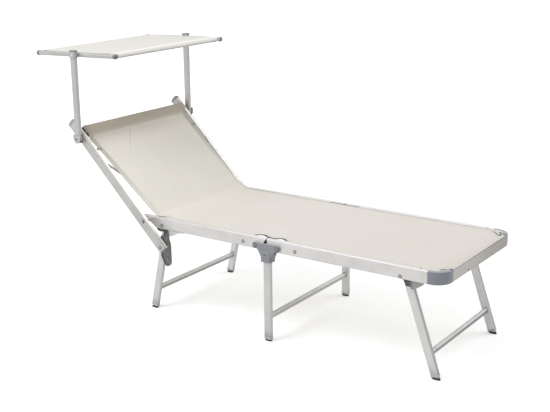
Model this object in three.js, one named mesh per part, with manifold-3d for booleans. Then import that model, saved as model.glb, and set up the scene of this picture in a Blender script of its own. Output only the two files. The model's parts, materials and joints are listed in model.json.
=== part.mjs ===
// Folding sun lounger with a tilting canopy. Millimetres, +Z up, foot end at +X, the right side at -Y.
import * as THREE from 'three';
import { mergeVertices } from 'three/addons/utils/BufferGeometryUtils.js';
import Module from 'manifold-3d';

const wasm = await Module();
wasm.setup();

// Fits and fineness of the curves
const fit = 0.3;
const weldTolerance = 0.0001;
const roundSteps = 24;
const cornerSteps = 3;
const curveSteps = 8;
const overshoot = 10;
const fullTurn = 360;

// Side rails of the seat and of the foot end
const railOuterY = 307;
const railWidth = 20;
const railHeight = 49;
const railBottom = 379;
const railCorner = 4;
const railWall = 1.8;
const railCavityHeight = 38;
const grooveDepth = 5;
const grooveBottom = 42;
const grooveHeight = 3;
const railTipX = -632;
const railHeelX = -567;
const railGap = 2.5;
const railChamferX = 14;
const railChamferZ = 21;
const endRailFaceX = 760;
const cornerRadius = 60;
const cornerStraightX = 8;
const cornerStraightY = 10;
const cornerBevel = 4;
const cornerPlateZ = 411;
const cornerPlateThick = 4;
const cornerPlateInset = 12;
const cornerSlotLength = 18;
const cornerSlotWidth = 5;
const rivetRadius = 4.6;
const rivetHeight = 1.6;
const rivetCrownShare = 0.7;
const seatRivetX = -114;
const footRivetX = 132;
const rivetLine = 399;

// Folding saddle over each pair of middle legs
const hingeX = 52;
const hingeZ = 396;
const hingeHoleRadius = 4.4;
const hingePinRadius = 4;
const hingeHeadRadius = 7;
const hingeHeadHeight = 2;
const saddleEar = 13;
const saddleOuterThick = 6.5;
const saddleInnerThick = 5.2;
const saddleNeckHalf = 22.5;
const saddleNeckTop = 346;
const saddleNeckBottom = 334;
const saddleFlareX = 30;
const saddleFlareZ = 368;
const saddleEarTurn = 55;
const saddleWebHalf = 29;
const saddleEdge = 1.2;
const collarDepth = 32;
const collarCentreY = 302;
const collarTop = 377;
const collarCorner = 5;
const buttonX = -4;
const buttonZ = 363;
const buttonRadius = 3;
const buttonDepth = 3;

// Legs, their crossbars and their shoes
const legWidth = 35;
const legThick = 18;
const legCorner = 6;
const legWall = 1.6;
const middleLegY = 300;
const middleLegTop = 372;
const headLegY = 271;
const headLegInset = 97;
const headLegTopZ = 394;
const headLegRun = -88;
const footLegY = 257.5;
const footLegInset = 175;
const footLegTopZ = 388;
const footLegRun = 133.5;
const middleCrossbarZ = 100.5;
const endCrossbarZ = 94;
const crossbarHeight = 23.5;
const crossbarThick = 15;
const crossbarCorner = 5;
const shoeWidth = 35.6;
const shoeThick = 18.6;
const soleWidth = 30;
const soleThick = 14.5;
const soleCorner = 6;
const uprightShoe = 15;
const leaningShoe = 19;
const uprightSole = 8;
const leaningSole = 12;
const shoePlug = 20;
const boltRadius = 4;
const boltHoleRadius = 4.4;
const boltHeadRadius = 7;
const boltHeadHeight = 2.4;

// Notched bracket of pressed steel behind each seat rail, drawn round the head leg's bolt
const bracketOutline = [
  [-48, -22], [-44, -2], [-33, 8], [5, 8], [10, 2], [11, -20], [15, -54], [23, -83],
  [25, -94], [25, -168], [20, -177], [6, -186], [-10, -181], [-29, -142], [-23, -118], [-1, -89],
  [-28, -63], [-27, -55], [-10, -49], [-8, -32], [-24, -36], [-39, -33],
];
const bracketThick = 6;
const bracketFloor = 2.6;
const bracketRim = 2.4;
const padBoltX = -1;
const padBoltUpperZ = -133;
const padBoltLowerZ = -159;
const padBoltRadius = 5;
const padBoltHeight = 2.6;
const gussetOutline = [[38, 0], [38, -27], [51, -23], [73, -13], [95, -4], [110, 0]];
const gussetThick = 3;
const gussetInset = 1.5;
const gussetOverlap = 20;

// Bracket over each foot-end leg, drawn round the leg's bolt
const legBracketOutline = [
  [-29, 23], [-29, 8], [5, -22], [13, -39], [55, -42], [83, -22], [87, -8], [87, 23],
];
const legBracketThick = 3;
const stopFlangeLength = 58;
const stopFlangeStart = 0;
const stopFlangeThick = 3;

// Back frame
const backOriginX = -602;
const backOriginZ = 404;
const backAngle = 45;
const backPivotX = -600;
const backPivotZ = 413;
const backTubeOuterY = 351;
const backTubeWidth = 20;
const backTubeDepth = 40;
const backTubeCorner = 4;
const backTubeWall = 1.8;
const backTubeLower = -146;
const backTubeUpper = 539;
const lowerRivetS = -129;
const backCapThick = 16;
const backCapDome = 8;
const backCapEdge = 3;
const backCapMargin = 0.8;
const spacerRadius = 9;
const topBarS = 486;
const topBarN = 18;
const topBarLong = 32;
const topBarThick = 20;
const topBarCorner = 5;
const strapThick = 2.4;
const strapWidth = 13;
const upperStrap = [[381.5, 18.1, 330.4], [380.5, 18.6, 303]];
const lowerStrap = [[301, 21.8, 336], [240, 27.8, 303]];

// Stretched fabric
const fabricThick = 2;
const fabricZ = 422.5;
const fabricStart = 4;
const fabricRise = -505;
const grooveRest = 4.7;
const seatBarX = -555;
const seatBarZ = 421;
const seatBarRadius = 10;
const seatSleeveGap = 1;
const sleeveSlack = 0.4;
const seatWrapStart = 60;
const seatWrapEnd = 265;
const footClipGap = 0.5;
const backFabricLine = [[40, 40], [110, 33.5], [200, 27], [300, 20.5], [400, 14.5], [442, 12]];
const backSleeveFront = [464, 26];
const backSleeveReturn = [455, 9.4];
const backHalfLower = 305;
const backHalfUpper = 325;

// Canopy posts and their mounts
const postPivotS = 462.448;
const postInnerY = 358.5;
const postWidth = 28;
const postThick = 18;
const postCorner = 5;
const postWall = 1.5;
const postTop = 1099;
const postCapRise = 7;
const postCapSkirt = 12;
const postCapWall = 1.6;
const postCapEdge = 1.5;
const mountHalf = 20;
const mountRise = 19;
const mountWall = 2.6;
const mountFloorGap = 1.5;

// Canopy frame and cloth
const canopyTubeY = 348;
const canopyTubeRadius = 10;
const canopyTubeWall = 1.3;
const canopyFrontReach = 218;
const canopyRearReach = 224;
const canopyRise = 12;
const canopyPivotDrop = 12.92;
const canopyCapLength = 10;
const canopyCapMargin = 0.6;
const canopyBarInset = 16;
const canopyBarRadius = 9;
const canopyWrapOpen = 20;
const canopySag = 5;
const canopyClothHalf = 336;
const canopyClothSteps = 10;
const crownSteps = 12;

// Colours
const aluminium = { color: 0xc9c9c6, roughness: 0.36, metalness: 0.9 };
const fittingGrey = { color: 0x84878d, roughness: 0.55, metalness: 0 };
const steelGrey = { color: 0x56565a, roughness: 0.5, metalness: 0.6 };
const shoeGrey = { color: 0x4a4b4e, roughness: 0.8, metalness: 0 };
const capBlack = { color: 0x3a3b3e, roughness: 0.6, metalness: 0 };
const fabricCream = { color: 0xddd6ca, roughness: 0.85, metalness: 0 };
const canopyCream = { color: 0xe2ddd2, roughness: 0.85, metalness: 0 };
const strapDark = { color: 0x46443f, roughness: 0.8, metalness: 0 };

// Joining and cutting
function solid(geometry) {
  const plain = geometry.clone();
  plain.deleteAttribute('normal');
  plain.deleteAttribute('uv');
  const merged = mergeVertices(plain, weldTolerance);
  const vertProperties = new Float32Array(merged.attributes.position.array);
  const triVerts = new Uint32Array(merged.index.array);
  return new wasm.Manifold(new wasm.Mesh({ numProp: 3, vertProperties, triVerts }));
}

function surface(body) {
  const mesh = body.getMesh();
  const geometry = new THREE.BufferGeometry();
  geometry.setAttribute('position', new THREE.BufferAttribute(new Float32Array(mesh.vertProperties), 3));
  geometry.setIndex(new THREE.BufferAttribute(new Uint32Array(mesh.triVerts), 1));
  return geometry;
}

function mirrored(geometry) {
  const twin = mergeVertices(geometry.clone().deleteAttribute('normal').deleteAttribute('uv'), weldTolerance);
  twin.scale(1, -1, 1);
  const index = twin.index;
  for (let i = 0; i < index.count; i += 3) {
    const second = index.getX(i + 1);
    index.setX(i + 1, index.getX(i + 2));
    index.setX(i + 2, second);
  }
  return twin;
}

// Outlines
function polygon(points) {
  return new THREE.Shape(points.map(([u, v]) => new THREE.Vector2(u, v)));
}

function roundedPoints(width, height, radius, centreU = 0, centreV = 0) {
  const points = [];
  const corners = [[1, 1, 0], [-1, 1, 1], [-1, -1, 2], [1, -1, 3]];
  for (const [sideU, sideV, quarter] of corners) {
    for (let step = 0; step <= cornerSteps; step += 1) {
      const turn = (Math.PI / 2) * (quarter + step / cornerSteps);
      const u = centreU + sideU * (width / 2 - radius) + radius * Math.cos(turn);
      const v = centreV + sideV * (height / 2 - radius) + radius * Math.sin(turn);
      points.push([u, v]);
    }
  }
  return points;
}

function hollow(width, height, radius, wall) {
  const shape = polygon(roundedPoints(width, height, radius));
  const inner = roundedPoints(width - 2 * wall, height - 2 * wall, radius - wall);
  shape.holes.push(new THREE.Path(inner.map(([u, v]) => new THREE.Vector2(u, v))));
  return shape;
}

function inset(points, distance) {
  const count = points.length;
  return points.map(([u, v], index) => {
    const before = new THREE.Vector2(...points[(index + count - 1) % count]);
    const here = new THREE.Vector2(u, v);
    const after = new THREE.Vector2(...points[(index + 1) % count]);
    const first = here.clone().sub(before).normalize();
    const second = after.clone().sub(here).normalize();
    const normal = new THREE.Vector2(-first.y - second.y, first.x + second.x).normalize();
    const reach = distance / Math.max(normal.x * -first.y + normal.y * first.x, 0.5);
    return [u + normal.x * reach, v + normal.y * reach];
  });
}

function strip(line, thickness) {
  const left = [];
  const right = [];
  line.forEach(([u, v], index) => {
    const before = line[Math.max(index - 1, 0)];
    const after = line[Math.min(index + 1, line.length - 1)];
    const along = new THREE.Vector2(after[0] - before[0], after[1] - before[1]).normalize();
    left.push([u - (along.y * thickness) / 2, v + (along.x * thickness) / 2]);
    right.push([u + (along.y * thickness) / 2, v - (along.x * thickness) / 2]);
  });
  return polygon([...left, ...right.reverse()]);
}

function arc(centreU, centreV, radius, from, to, steps) {
  return Array.from({ length: steps + 1 }, (unused, step) => {
    const turn = THREE.MathUtils.degToRad(from + ((to - from) * step) / steps);
    return [centreU + radius * Math.cos(turn), centreV + radius * Math.sin(turn)];
  });
}

// An outline drawn in x and z, given thickness along y
function plate(shape, lowY, highY, edge = 0) {
  const bevel = { bevelEnabled: edge > 0, bevelSize: edge, bevelThickness: edge, bevelOffset: -edge, bevelSegments: 1 };
  const depth = highY - lowY - 2 * edge;
  const geometry = new THREE.ExtrudeGeometry(shape, { depth, curveSegments: curveSteps, ...bevel });
  const basis = new THREE.Matrix4().makeBasis(
    new THREE.Vector3(1, 0, 0),
    new THREE.Vector3(0, 0, 1),
    new THREE.Vector3(0, -1, 0),
  );
  geometry.translate(0, 0, edge);
  geometry.applyMatrix4(basis);
  geometry.translate(0, highY, 0);
  return geometry;
}

// An outline drawn in x and y, given height along z
function slab(shape, lowZ, highZ, edge = 0) {
  const bevel = { bevelEnabled: edge > 0, bevelSize: edge, bevelThickness: edge, bevelOffset: -edge, bevelSegments: 2 };
  const depth = highZ - lowZ - 2 * edge;
  const geometry = new THREE.ExtrudeGeometry(shape, { depth, curveSegments: curveSteps, ...bevel });
  geometry.translate(0, 0, lowZ + edge);
  return geometry;
}

// A section swept straight from one point to another; its second axis leans toward up
function beam(shape, start, end, up) {
  const along = end.clone().sub(start);
  const depth = along.length();
  along.normalize();
  const across = up.clone().cross(along).normalize();
  const upward = along.clone().cross(across);
  const geometry = new THREE.ExtrudeGeometry(shape, { depth, bevelEnabled: false });
  geometry.applyMatrix4(new THREE.Matrix4().makeBasis(across, upward, along));
  geometry.translate(start.x, start.y, start.z);
  return geometry;
}

function rod(start, end, radius, steps = roundSteps) {
  const along = end.clone().sub(start);
  const geometry = new THREE.CylinderGeometry(radius, radius, along.length(), steps);
  const turn = new THREE.Quaternion().setFromUnitVectors(new THREE.Vector3(0, 1, 0), along.clone().normalize());
  geometry.applyQuaternion(turn);
  const middle = start.clone().add(end).multiplyScalar(1 / 2);
  geometry.translate(middle.x, middle.y, middle.z);
  return geometry;
}

// A pin along y at one x and z, and a low crowned head that ends at faceY
function pin(x, z, fromY, toY, radius) {
  return solid(rod(new THREE.Vector3(x, fromY, z), new THREE.Vector3(x, toY, z), radius));
}

function head(x, z, faceY, radius, height) {
  const profile = [
    new THREE.Vector2(0, -height),
    new THREE.Vector2(radius, -height),
    new THREE.Vector2(radius, 0),
    new THREE.Vector2(radius * rivetCrownShare, height),
    new THREE.Vector2(0, height),
  ];
  const geometry = new THREE.LatheGeometry(profile, crownSteps);
  geometry.rotateX(Math.PI);
  geometry.translate(x, faceY, z);
  return solid(geometry);
}

function block(lowX, highX, lowY, highY, lowZ, highZ) {
  const geometry = new THREE.BoxGeometry(highX - lowX, highY - lowY, highZ - lowZ);
  geometry.translate((lowX + highX) / 2, (lowY + highY) / 2, (lowZ + highZ) / 2);
  return solid(geometry);
}

function tubeShape(outer, wall) {
  const shape = polygon(arc(0, 0, outer, 0, fullTurn, roundSteps).slice(0, -1));
  const bore = arc(0, 0, outer - wall, 0, fullTurn, roundSteps).slice(0, -1);
  shape.holes.push(new THREE.Path(bore.map(([u, v]) => new THREE.Vector2(u, v))));
  return shape;
}

const up = new THREE.Vector3(0, 0, 1);
const group = new THREE.Group();

function add(name, geometry, look) {
  const clean = geometry.index ? geometry.toNonIndexed() : geometry;
  clean.computeVertexNormals();
  const mesh = new THREE.Mesh(clean, new THREE.MeshStandardMaterial(look));
  mesh.name = name;
  group.add(mesh);
}

function addPair(name, geometry, look) {
  add(`${name}_right`, geometry, look);
  add(`${name}_left`, mirrored(geometry), look);
}

// Places that follow from the sizes
const railTop = railBottom + railHeight;
const railInnerY = railOuterY - railWidth;
const grooveTop = grooveBottom + grooveHeight;
const seatSleeveHalf = railInnerY - seatSleeveGap;
const footRailEnd = endRailFaceX - cornerRadius - cornerStraightX;
const endRailHalf = railOuterY - cornerRadius - cornerStraightY;
const headLegTopX = railTipX + headLegInset;
const headLegFootX = headLegTopX + headLegRun;
const footLegTopX = endRailFaceX - footLegInset;
const footLegFootX = footLegTopX + footLegRun;
const backTurn = THREE.MathUtils.degToRad(backAngle);
const postPivotX = backOriginX - postPivotS * Math.cos(backTurn);
const postPivotZ = backOriginZ + postPivotS * Math.sin(backTurn);
const mountTop = postPivotZ + mountRise;
const postCapTop = postTop + postCapRise;
const canopyFrontX = postPivotX + canopyFrontReach;
const canopyRearX = postPivotX - canopyRearReach;
const canopySlope = canopyRise / (canopyFrontX - canopyRearX);
const canopyPivotZ = postTop - canopyPivotDrop;

function placed(outline, x, z) {
  return outline.map(([u, v]) => [x + u, z + v]);
}

// Rail section: first axis inward from the outer face, second axis up from the rail's bottom
function railSection() {
  const outer = roundedPoints(railWidth, railHeight, railCorner, railWidth / 2, railHeight / 2);
  const split = outer.findIndex(([u, v]) => u > railWidth - weldTolerance && v > grooveTop);
  const points = [...outer.slice(split), ...outer.slice(0, split)];
  points.push([railWidth, grooveBottom]);
  points.push([railWidth - grooveDepth, grooveBottom]);
  points.push([railWidth - grooveDepth, grooveTop]);
  points.push([railWidth, grooveTop]);
  const shape = polygon(points);
  const cavityCentre = railWall + railCavityHeight / 2;
  const cavity = roundedPoints(railWidth - 2 * railWall, railCavityHeight, railCorner - railWall, railWidth / 2, cavityCentre);
  shape.holes.push(new THREE.Path(cavity.map(([u, v]) => new THREE.Vector2(u, v))));
  return shape;
}

function railBar(startX, endX) {
  const geometry = new THREE.ExtrudeGeometry(railSection(), { depth: endX - startX, bevelEnabled: false });
  const basis = new THREE.Matrix4().makeBasis(
    new THREE.Vector3(0, 1, 0),
    new THREE.Vector3(0, 0, 1),
    new THREE.Vector3(1, 0, 0),
  );
  geometry.applyMatrix4(basis);
  geometry.translate(startX, -railOuterY, railBottom);
  return solid(geometry);
}

// Seat rails: slanted at the head, cut back under the fold, with the studs of the back and of the head legs
function seatRail() {
  const tip = [railTipX, railTop];
  const heel = [railHeelX, railBottom];
  const runX = heel[0] - tip[0];
  const runZ = heel[1] - tip[1];
  const beyond = overshoot / railHeight;
  const slant = polygon([
    [tip[0] - runX * beyond, tip[1] - runZ * beyond],
    [tip[0] - runX * beyond, heel[1] + runZ * beyond],
    [heel[0] + runX * beyond, heel[1] + runZ * beyond],
  ]);
  const undercut = polygon([
    [-railGap, railTop],
    [-railGap - railChamferX, railTop - railChamferZ],
    [-railGap - railChamferX, railBottom - overshoot],
    [overshoot, railBottom - overshoot],
    [overshoot, railTop],
  ]);
  const cutLow = -railOuterY - overshoot;
  const cutHigh = -railInnerY + overshoot;
  const backTubeInner = -backTubeOuterY + backTubeWidth;
  const legInner = -headLegY + legThick / 2;
  return railBar(railTipX, -railGap)
    .subtract(solid(plate(slant, cutLow, cutHigh)))
    .subtract(solid(plate(undercut, cutLow, cutHigh)))
    .subtract(pin(-hingeX, hingeZ, cutLow, cutHigh, hingeHoleRadius))
    .add(pin(backPivotX, backPivotZ, backTubeInner + fit, -railOuterY + fit, spacerRadius))
    .add(pin(backPivotX, backPivotZ, -backTubeOuterY - fit, -railInnerY - railWall, boltRadius))
    .add(head(backPivotX, backPivotZ, -backTubeOuterY - fit - boltHeadHeight, boltHeadRadius, boltHeadHeight))
    .add(pin(headLegTopX, headLegTopZ, -railOuterY, legInner, boltRadius))
    .add(head(headLegTopX, headLegTopZ, -railOuterY, boltHeadRadius, boltHeadHeight))
    .add(head(seatRivetX, rivetLine, -railOuterY, rivetRadius, rivetHeight));
}

// Foot-end rails with the studs of the foot legs
function footRail() {
  const cutLow = -railOuterY - overshoot;
  const cutHigh = -railInnerY + overshoot;
  const legInner = -footLegY + legThick / 2;
  return railBar(railGap, footRailEnd - fit)
    .subtract(pin(hingeX, hingeZ, cutLow, cutHigh, hingeHoleRadius))
    .add(pin(footLegTopX, footLegTopZ, -railOuterY, legInner, boltRadius))
    .add(head(footLegTopX, footLegTopZ, -railOuterY, rivetRadius, rivetHeight))
    .add(head(footRivetX, rivetLine, -railOuterY, rivetRadius, rivetHeight));
}

addPair('seat_rail', surface(seatRail()), aluminium);
addPair('foot_rail', surface(footRail()), aluminium);

function endRail() {
  const length = 2 * (endRailHalf - fit);
  const geometry = new THREE.ExtrudeGeometry(railSection(), { depth: length, bevelEnabled: false });
  const basis = new THREE.Matrix4().makeBasis(
    new THREE.Vector3(-1, 0, 0),
    new THREE.Vector3(0, 0, 1),
    new THREE.Vector3(0, 1, 0),
  );
  geometry.applyMatrix4(basis);
  geometry.translate(endRailFaceX, -length / 2, railBottom);
  return geometry;
}

add('end_rail', endRail(), aluminium);

// Rounded plastic corners at the foot end
function corner() {
  const bendX = endRailFaceX - cornerRadius;
  const bendY = -railOuterY + cornerRadius;
  const innerRadius = cornerRadius - railWidth;
  const wall = polygon([
    [footRailEnd, -railOuterY],
    ...arc(bendX, bendY, cornerRadius, -90, 0, curveSteps),
    [endRailFaceX, -endRailHalf],
    [endRailFaceX - railWidth, -endRailHalf],
    ...arc(bendX, bendY, innerRadius, 0, -90, curveSteps),
    [footRailEnd, -railInnerY],
  ]);
  const sheet = polygon([
    [footRailEnd, -railOuterY + railWidth / 2],
    ...arc(bendX, bendY, cornerRadius - railWidth / 2, -90, 0, curveSteps),
    [endRailFaceX - railWidth / 2, -endRailHalf],
    [endRailFaceX - railWidth - cornerPlateInset, -endRailHalf],
    [footRailEnd, -railInnerY + cornerPlateInset],
  ]);
  const slot = polygon(roundedPoints(cornerSlotLength, cornerSlotWidth, cornerSlotWidth / 2));
  const slotCut = slab(slot, cornerPlateZ - overshoot, cornerPlateZ + overshoot);
  slotCut.rotateZ(Math.PI / 4);
  const slotReach = (innerRadius - cornerSlotWidth) / Math.SQRT2;
  slotCut.translate(bendX + slotReach, bendY - slotReach, 0);
  return solid(slab(wall, railBottom, railTop, cornerBevel))
    .add(solid(slab(sheet, cornerPlateZ, cornerPlateZ + cornerPlateThick)))
    .subtract(solid(slotCut));
}

addPair('end_corner', surface(corner()), fittingGrey);

// Folding saddle: two plates over the rail ends, a web under them and a collar round the leg
function saddle() {
  const earTurn = THREE.MathUtils.degToRad(saddleEarTurn);
  const shape = new THREE.Shape();
  shape.moveTo(hingeX, hingeZ + saddleEar);
  shape.lineTo(-hingeX, hingeZ + saddleEar);
  shape.absarc(-hingeX, hingeZ, saddleEar, Math.PI / 2, 2 * Math.PI - earTurn, false);
  shape.quadraticCurveTo(-saddleFlareX, saddleFlareZ, -saddleNeckHalf, saddleNeckTop);
  shape.lineTo(-saddleNeckHalf, saddleNeckBottom);
  shape.lineTo(saddleNeckHalf, saddleNeckBottom);
  shape.lineTo(saddleNeckHalf, saddleNeckTop);
  shape.quadraticCurveTo(
    saddleFlareX,
    saddleFlareZ,
    hingeX + saddleEar * Math.cos(Math.PI + earTurn),
    hingeZ - saddleEar * Math.sin(earTurn),
  );
  shape.absarc(hingeX, hingeZ, saddleEar, Math.PI + earTurn, 2 * Math.PI + Math.PI / 2, false);
  const outerHigh = -railOuterY - fit;
  const outerLow = outerHigh - saddleOuterThick;
  const innerLow = -railInnerY + fit;
  const innerHigh = innerLow + saddleInnerThick;
  const webSpace = block(-saddleWebHalf, saddleWebHalf, outerLow, innerHigh, saddleNeckBottom, railBottom - fit);
  const web = solid(plate(shape, outerLow + saddleEdge, innerHigh - saddleEdge)).intersect(webSpace);
  const collarShape = polygon(roundedPoints(2 * saddleNeckHalf, collarDepth, collarCorner, 0, -collarCentreY));
  const socketShape = polygon(roundedPoints(legWidth + 2 * fit, legThick + 2 * fit, legCorner, 0, -middleLegY));
  const buttonFace = -collarCentreY - collarDepth / 2;
  return solid(plate(shape, outerLow, outerHigh, saddleEdge))
    .add(solid(plate(shape, innerLow, innerHigh, saddleEdge)))
    .add(web)
    .add(solid(slab(collarShape, saddleNeckBottom, collarTop)))
    .subtract(solid(slab(socketShape, saddleNeckBottom - overshoot, middleLegTop + fit)))
    .subtract(pin(buttonX, buttonZ, buttonFace - overshoot, buttonFace + buttonDepth, buttonRadius))
    .add(pin(-hingeX, hingeZ, outerLow + saddleEdge, innerHigh - saddleEdge, hingePinRadius))
    .add(pin(hingeX, hingeZ, outerLow + saddleEdge, innerHigh - saddleEdge, hingePinRadius))
    .add(head(-hingeX, hingeZ, outerLow, hingeHeadRadius, hingeHeadHeight))
    .add(head(hingeX, hingeZ, outerLow, hingeHeadRadius, hingeHeadHeight));
}

addPair('fold_saddle', surface(saddle()), fittingGrey);

// Legs run from their top point to the floor at footX; the shoe lies under the tube's square end
const legSection = hollow(legWidth, legThick, legCorner, legWall);
const shoeSection = polygon(roundedPoints(shoeWidth, shoeThick, legCorner));
const soleSection = polygon(roundedPoints(soleWidth, soleThick, soleCorner));
const plugWidth = legWidth - 2 * legWall - 2 * fit;
const plugThick = legThick - 2 * legWall - 2 * fit;
const plugSection = polygon(roundedPoints(plugWidth, plugThick, legCorner - legWall));
const sideways = new THREE.Vector3(0, 1, 0);

function legPoint(y, top, foot, distance) {
  const start = new THREE.Vector3(foot.x, y, foot.y);
  const end = new THREE.Vector3(top.x, y, top.y);
  return start.addScaledVector(end.sub(start).normalize(), distance);
}

function legTube(y, top, foot, shoe) {
  const length = top.distanceTo(foot);
  return solid(beam(legSection, legPoint(y, top, foot, shoe), legPoint(y, top, foot, length), sideways));
}

function legShoe(y, top, foot, shoe, sole) {
  const tread = solid(beam(soleSection, legPoint(y, top, foot, -shoeWidth), legPoint(y, top, foot, shoe), sideways));
  const collar = solid(beam(shoeSection, legPoint(y, top, foot, sole), legPoint(y, top, foot, shoe - fit), sideways));
  const plug = solid(beam(plugSection, legPoint(y, top, foot, sole), legPoint(y, top, foot, shoe + shoePlug), sideways));
  const reach = shoeWidth + overshoot;
  const under = block(foot.x - reach, foot.x + reach, y - reach, y + reach, -2 * reach, 0);
  return tread.add(collar).add(plug).subtract(under);
}

function pivotedLeg(y, top, foot) {
  const knuckle = pin(top.x, top.y, y - legThick / 2, y + legThick / 2, legWidth / 2);
  const hole = pin(top.x, top.y, y - legThick, y + legThick, boltHoleRadius);
  return legTube(y, top, foot, leaningShoe).add(knuckle).subtract(hole);
}

function crossbar(x, legY, z) {
  const half = legY - legThick / 2 - fit;
  const section = hollow(crossbarThick, crossbarHeight, crossbarCorner, legWall);
  const start = new THREE.Vector3(x, -half, z);
  const end = new THREE.Vector3(x, half, z);
  return beam(section, start, end, up);
}

const middleTop = new THREE.Vector2(0, middleLegTop);
const middleFoot = new THREE.Vector2(0, 0);
addPair('middle_leg', surface(legTube(-middleLegY, middleTop, middleFoot, uprightShoe)), aluminium);
add('middle_crossbar', crossbar(0, middleLegY, middleCrossbarZ), aluminium);
addPair('middle_shoe', surface(legShoe(-middleLegY, middleTop, middleFoot, uprightShoe, uprightSole)), shoeGrey);

const headTop = new THREE.Vector2(headLegTopX, headLegTopZ);
const headFoot = new THREE.Vector2(headLegFootX, 0);
const headLean = (headLegTopX - headLegFootX) / headLegTopZ;
addPair('head_leg', surface(pivotedLeg(-headLegY, headTop, headFoot)), aluminium);
add('head_crossbar', crossbar(headLegFootX + headLean * endCrossbarZ, headLegY, endCrossbarZ), aluminium);
addPair('head_shoe', surface(legShoe(-headLegY, headTop, headFoot, leaningShoe, leaningSole)), shoeGrey);

const footTop = new THREE.Vector2(footLegTopX, footLegTopZ);
const footFoot = new THREE.Vector2(footLegFootX, 0);
const footLean = (footLegTopX - footLegFootX) / footLegTopZ;
addPair('foot_leg', surface(pivotedLeg(-footLegY, footTop, footFoot)), aluminium);
add('foot_crossbar', crossbar(footLegFootX + footLean * endCrossbarZ, footLegY, endCrossbarZ), aluminium);
addPair('foot_shoe', surface(legShoe(-footLegY, footTop, footFoot, leaningShoe, leaningSole)), shoeGrey);

// Notched bracket: a pressed tray with a raised rim, two pad bolts and the leg stud's hole
function notchedBracket() {
  const lowY = -railInnerY + fit;
  const highY = lowY + bracketThick;
  const outline = placed(bracketOutline, headLegTopX, headLegTopZ);
  const tray = inset([...outline].reverse(), bracketRim);
  const boltX = headLegTopX + padBoltX;
  const padBolt = (z) => head(boltX, headLegTopZ + z, highY - bracketFloor, padBoltRadius, padBoltHeight);
  return solid(plate(polygon(outline), lowY, highY))
    .subtract(solid(plate(polygon(tray), lowY - overshoot, highY - bracketFloor)))
    .add(padBolt(padBoltUpperZ))
    .add(padBolt(padBoltLowerZ))
    .subtract(pin(headLegTopX, headLegTopZ, lowY - overshoot, highY + overshoot, boltHoleRadius));
}

addPair('notched_bracket', surface(notchedBracket()), steelGrey);

// Stiffening gusset under each seat rail
function gusset() {
  const lowY = -railOuterY + gussetInset;
  const outline = placed(gussetOutline, headLegTopX, railBottom);
  const lower = solid(plate(polygon(outline), lowY, lowY + gussetThick));
  const ledgeStart = outline[0][0];
  const ledgeEnd = outline[outline.length - 1][0];
  const ledgeTop = railBottom - fit;
  const ledge = block(ledgeStart, ledgeEnd, lowY, -railInnerY - railWall, ledgeTop - gussetThick, ledgeTop);
  const cover = block(ledgeStart, ledgeEnd, lowY - gussetOverlap, 0, ledgeTop, ledgeTop + gussetOverlap);
  return lower.add(ledge).subtract(cover);
}

addPair('rail_gusset', surface(gusset()), aluminium);

// Bracket over each foot leg, with a flange that stops the leg at its lean
function legBracket() {
  const lowY = -railInnerY + fit;
  const highY = lowY + legBracketThick;
  const lean = new THREE.Vector2(footLegFootX - footLegTopX, -footLegTopZ).normalize();
  const across = new THREE.Vector2(-lean.y, lean.x);
  const near = legWidth / 2 + fit;
  const far = near + stopFlangeThick;
  const at = (along, aside) => [
    footLegTopX + lean.x * along + across.x * aside,
    footLegTopZ + lean.y * along + across.y * aside,
  ];
  const end = stopFlangeLength;
  const flange = polygon([at(end, near), at(end, far), at(stopFlangeStart, far), at(stopFlangeStart, near)]);
  const legInner = -footLegY + legThick / 2;
  const outline = placed(legBracketOutline, footLegTopX, footLegTopZ);
  return solid(plate(polygon([...outline].reverse()), lowY, highY))
    .add(solid(plate(flange, lowY, legInner)))
    .subtract(pin(footLegTopX, footLegTopZ, lowY - overshoot, highY + overshoot, boltHoleRadius));
}

addPair('leg_bracket', surface(legBracket()), steelGrey);

// Seat and foot fabric, held in the rail grooves
const grooveHalf = railInnerY + grooveRest;

function seatFabric() {
  const bandRadius = seatBarRadius + sleeveSlack + fabricThick / 2;
  const wrap = arc(seatBarX, seatBarZ, bandRadius, seatWrapStart, seatWrapEnd, curveSteps);
  const line = [[fabricRise + fabricStart, fabricZ], [fabricRise, fabricZ], ...wrap];
  const sleeve = plate(strip(line, fabricThick), -seatSleeveHalf, seatSleeveHalf);
  const low = fabricZ - fabricThick / 2;
  const flat = block(fabricRise, -fabricStart, -grooveHalf, grooveHalf, low, low + fabricThick);
  return solid(sleeve).add(flat);
}

function footFabric() {
  const endX = endRailFaceX - railWidth + grooveRest;
  const low = fabricZ - fabricThick / 2;
  const innerX = endRailFaceX - railWidth - fit;
  const innerHalf = railInnerY - fit;
  const clipX = footRailEnd - footClipGap;
  const clipY = endRailHalf - footClipGap;
  const outline = polygon([
    [fabricStart, -grooveHalf],
    [clipX, -grooveHalf],
    [clipX, -innerHalf],
    [innerX, -clipY],
    [endX, -clipY],
    [endX, clipY],
    [innerX, clipY],
    [clipX, innerHalf],
    [clipX, grooveHalf],
    [fabricStart, grooveHalf],
  ]);
  return slab(outline, low, low + fabricThick);
}

add('seat_fabric', surface(seatFabric()), fabricCream);
add('foot_fabric', footFabric(), fabricCream);
const seatBarHalf = railInnerY - fit;
const seatBarStart = new THREE.Vector3(seatBarX, -seatBarHalf, seatBarZ);
const seatBarEnd = new THREE.Vector3(seatBarX, seatBarHalf, seatBarZ);
add('seat_head_bar', beam(tubeShape(seatBarRadius, canopyTubeWall), seatBarStart, seatBarEnd, up), aluminium);

// Back frame, drawn along s up the tubes and n toward the sitter
const alongS = new THREE.Vector3(-Math.cos(backTurn), 0, Math.sin(backTurn));
const alongN = new THREE.Vector3(Math.sin(backTurn), 0, Math.cos(backTurn));
const backTubeY = -(backTubeOuterY - backTubeWidth / 2);

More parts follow.
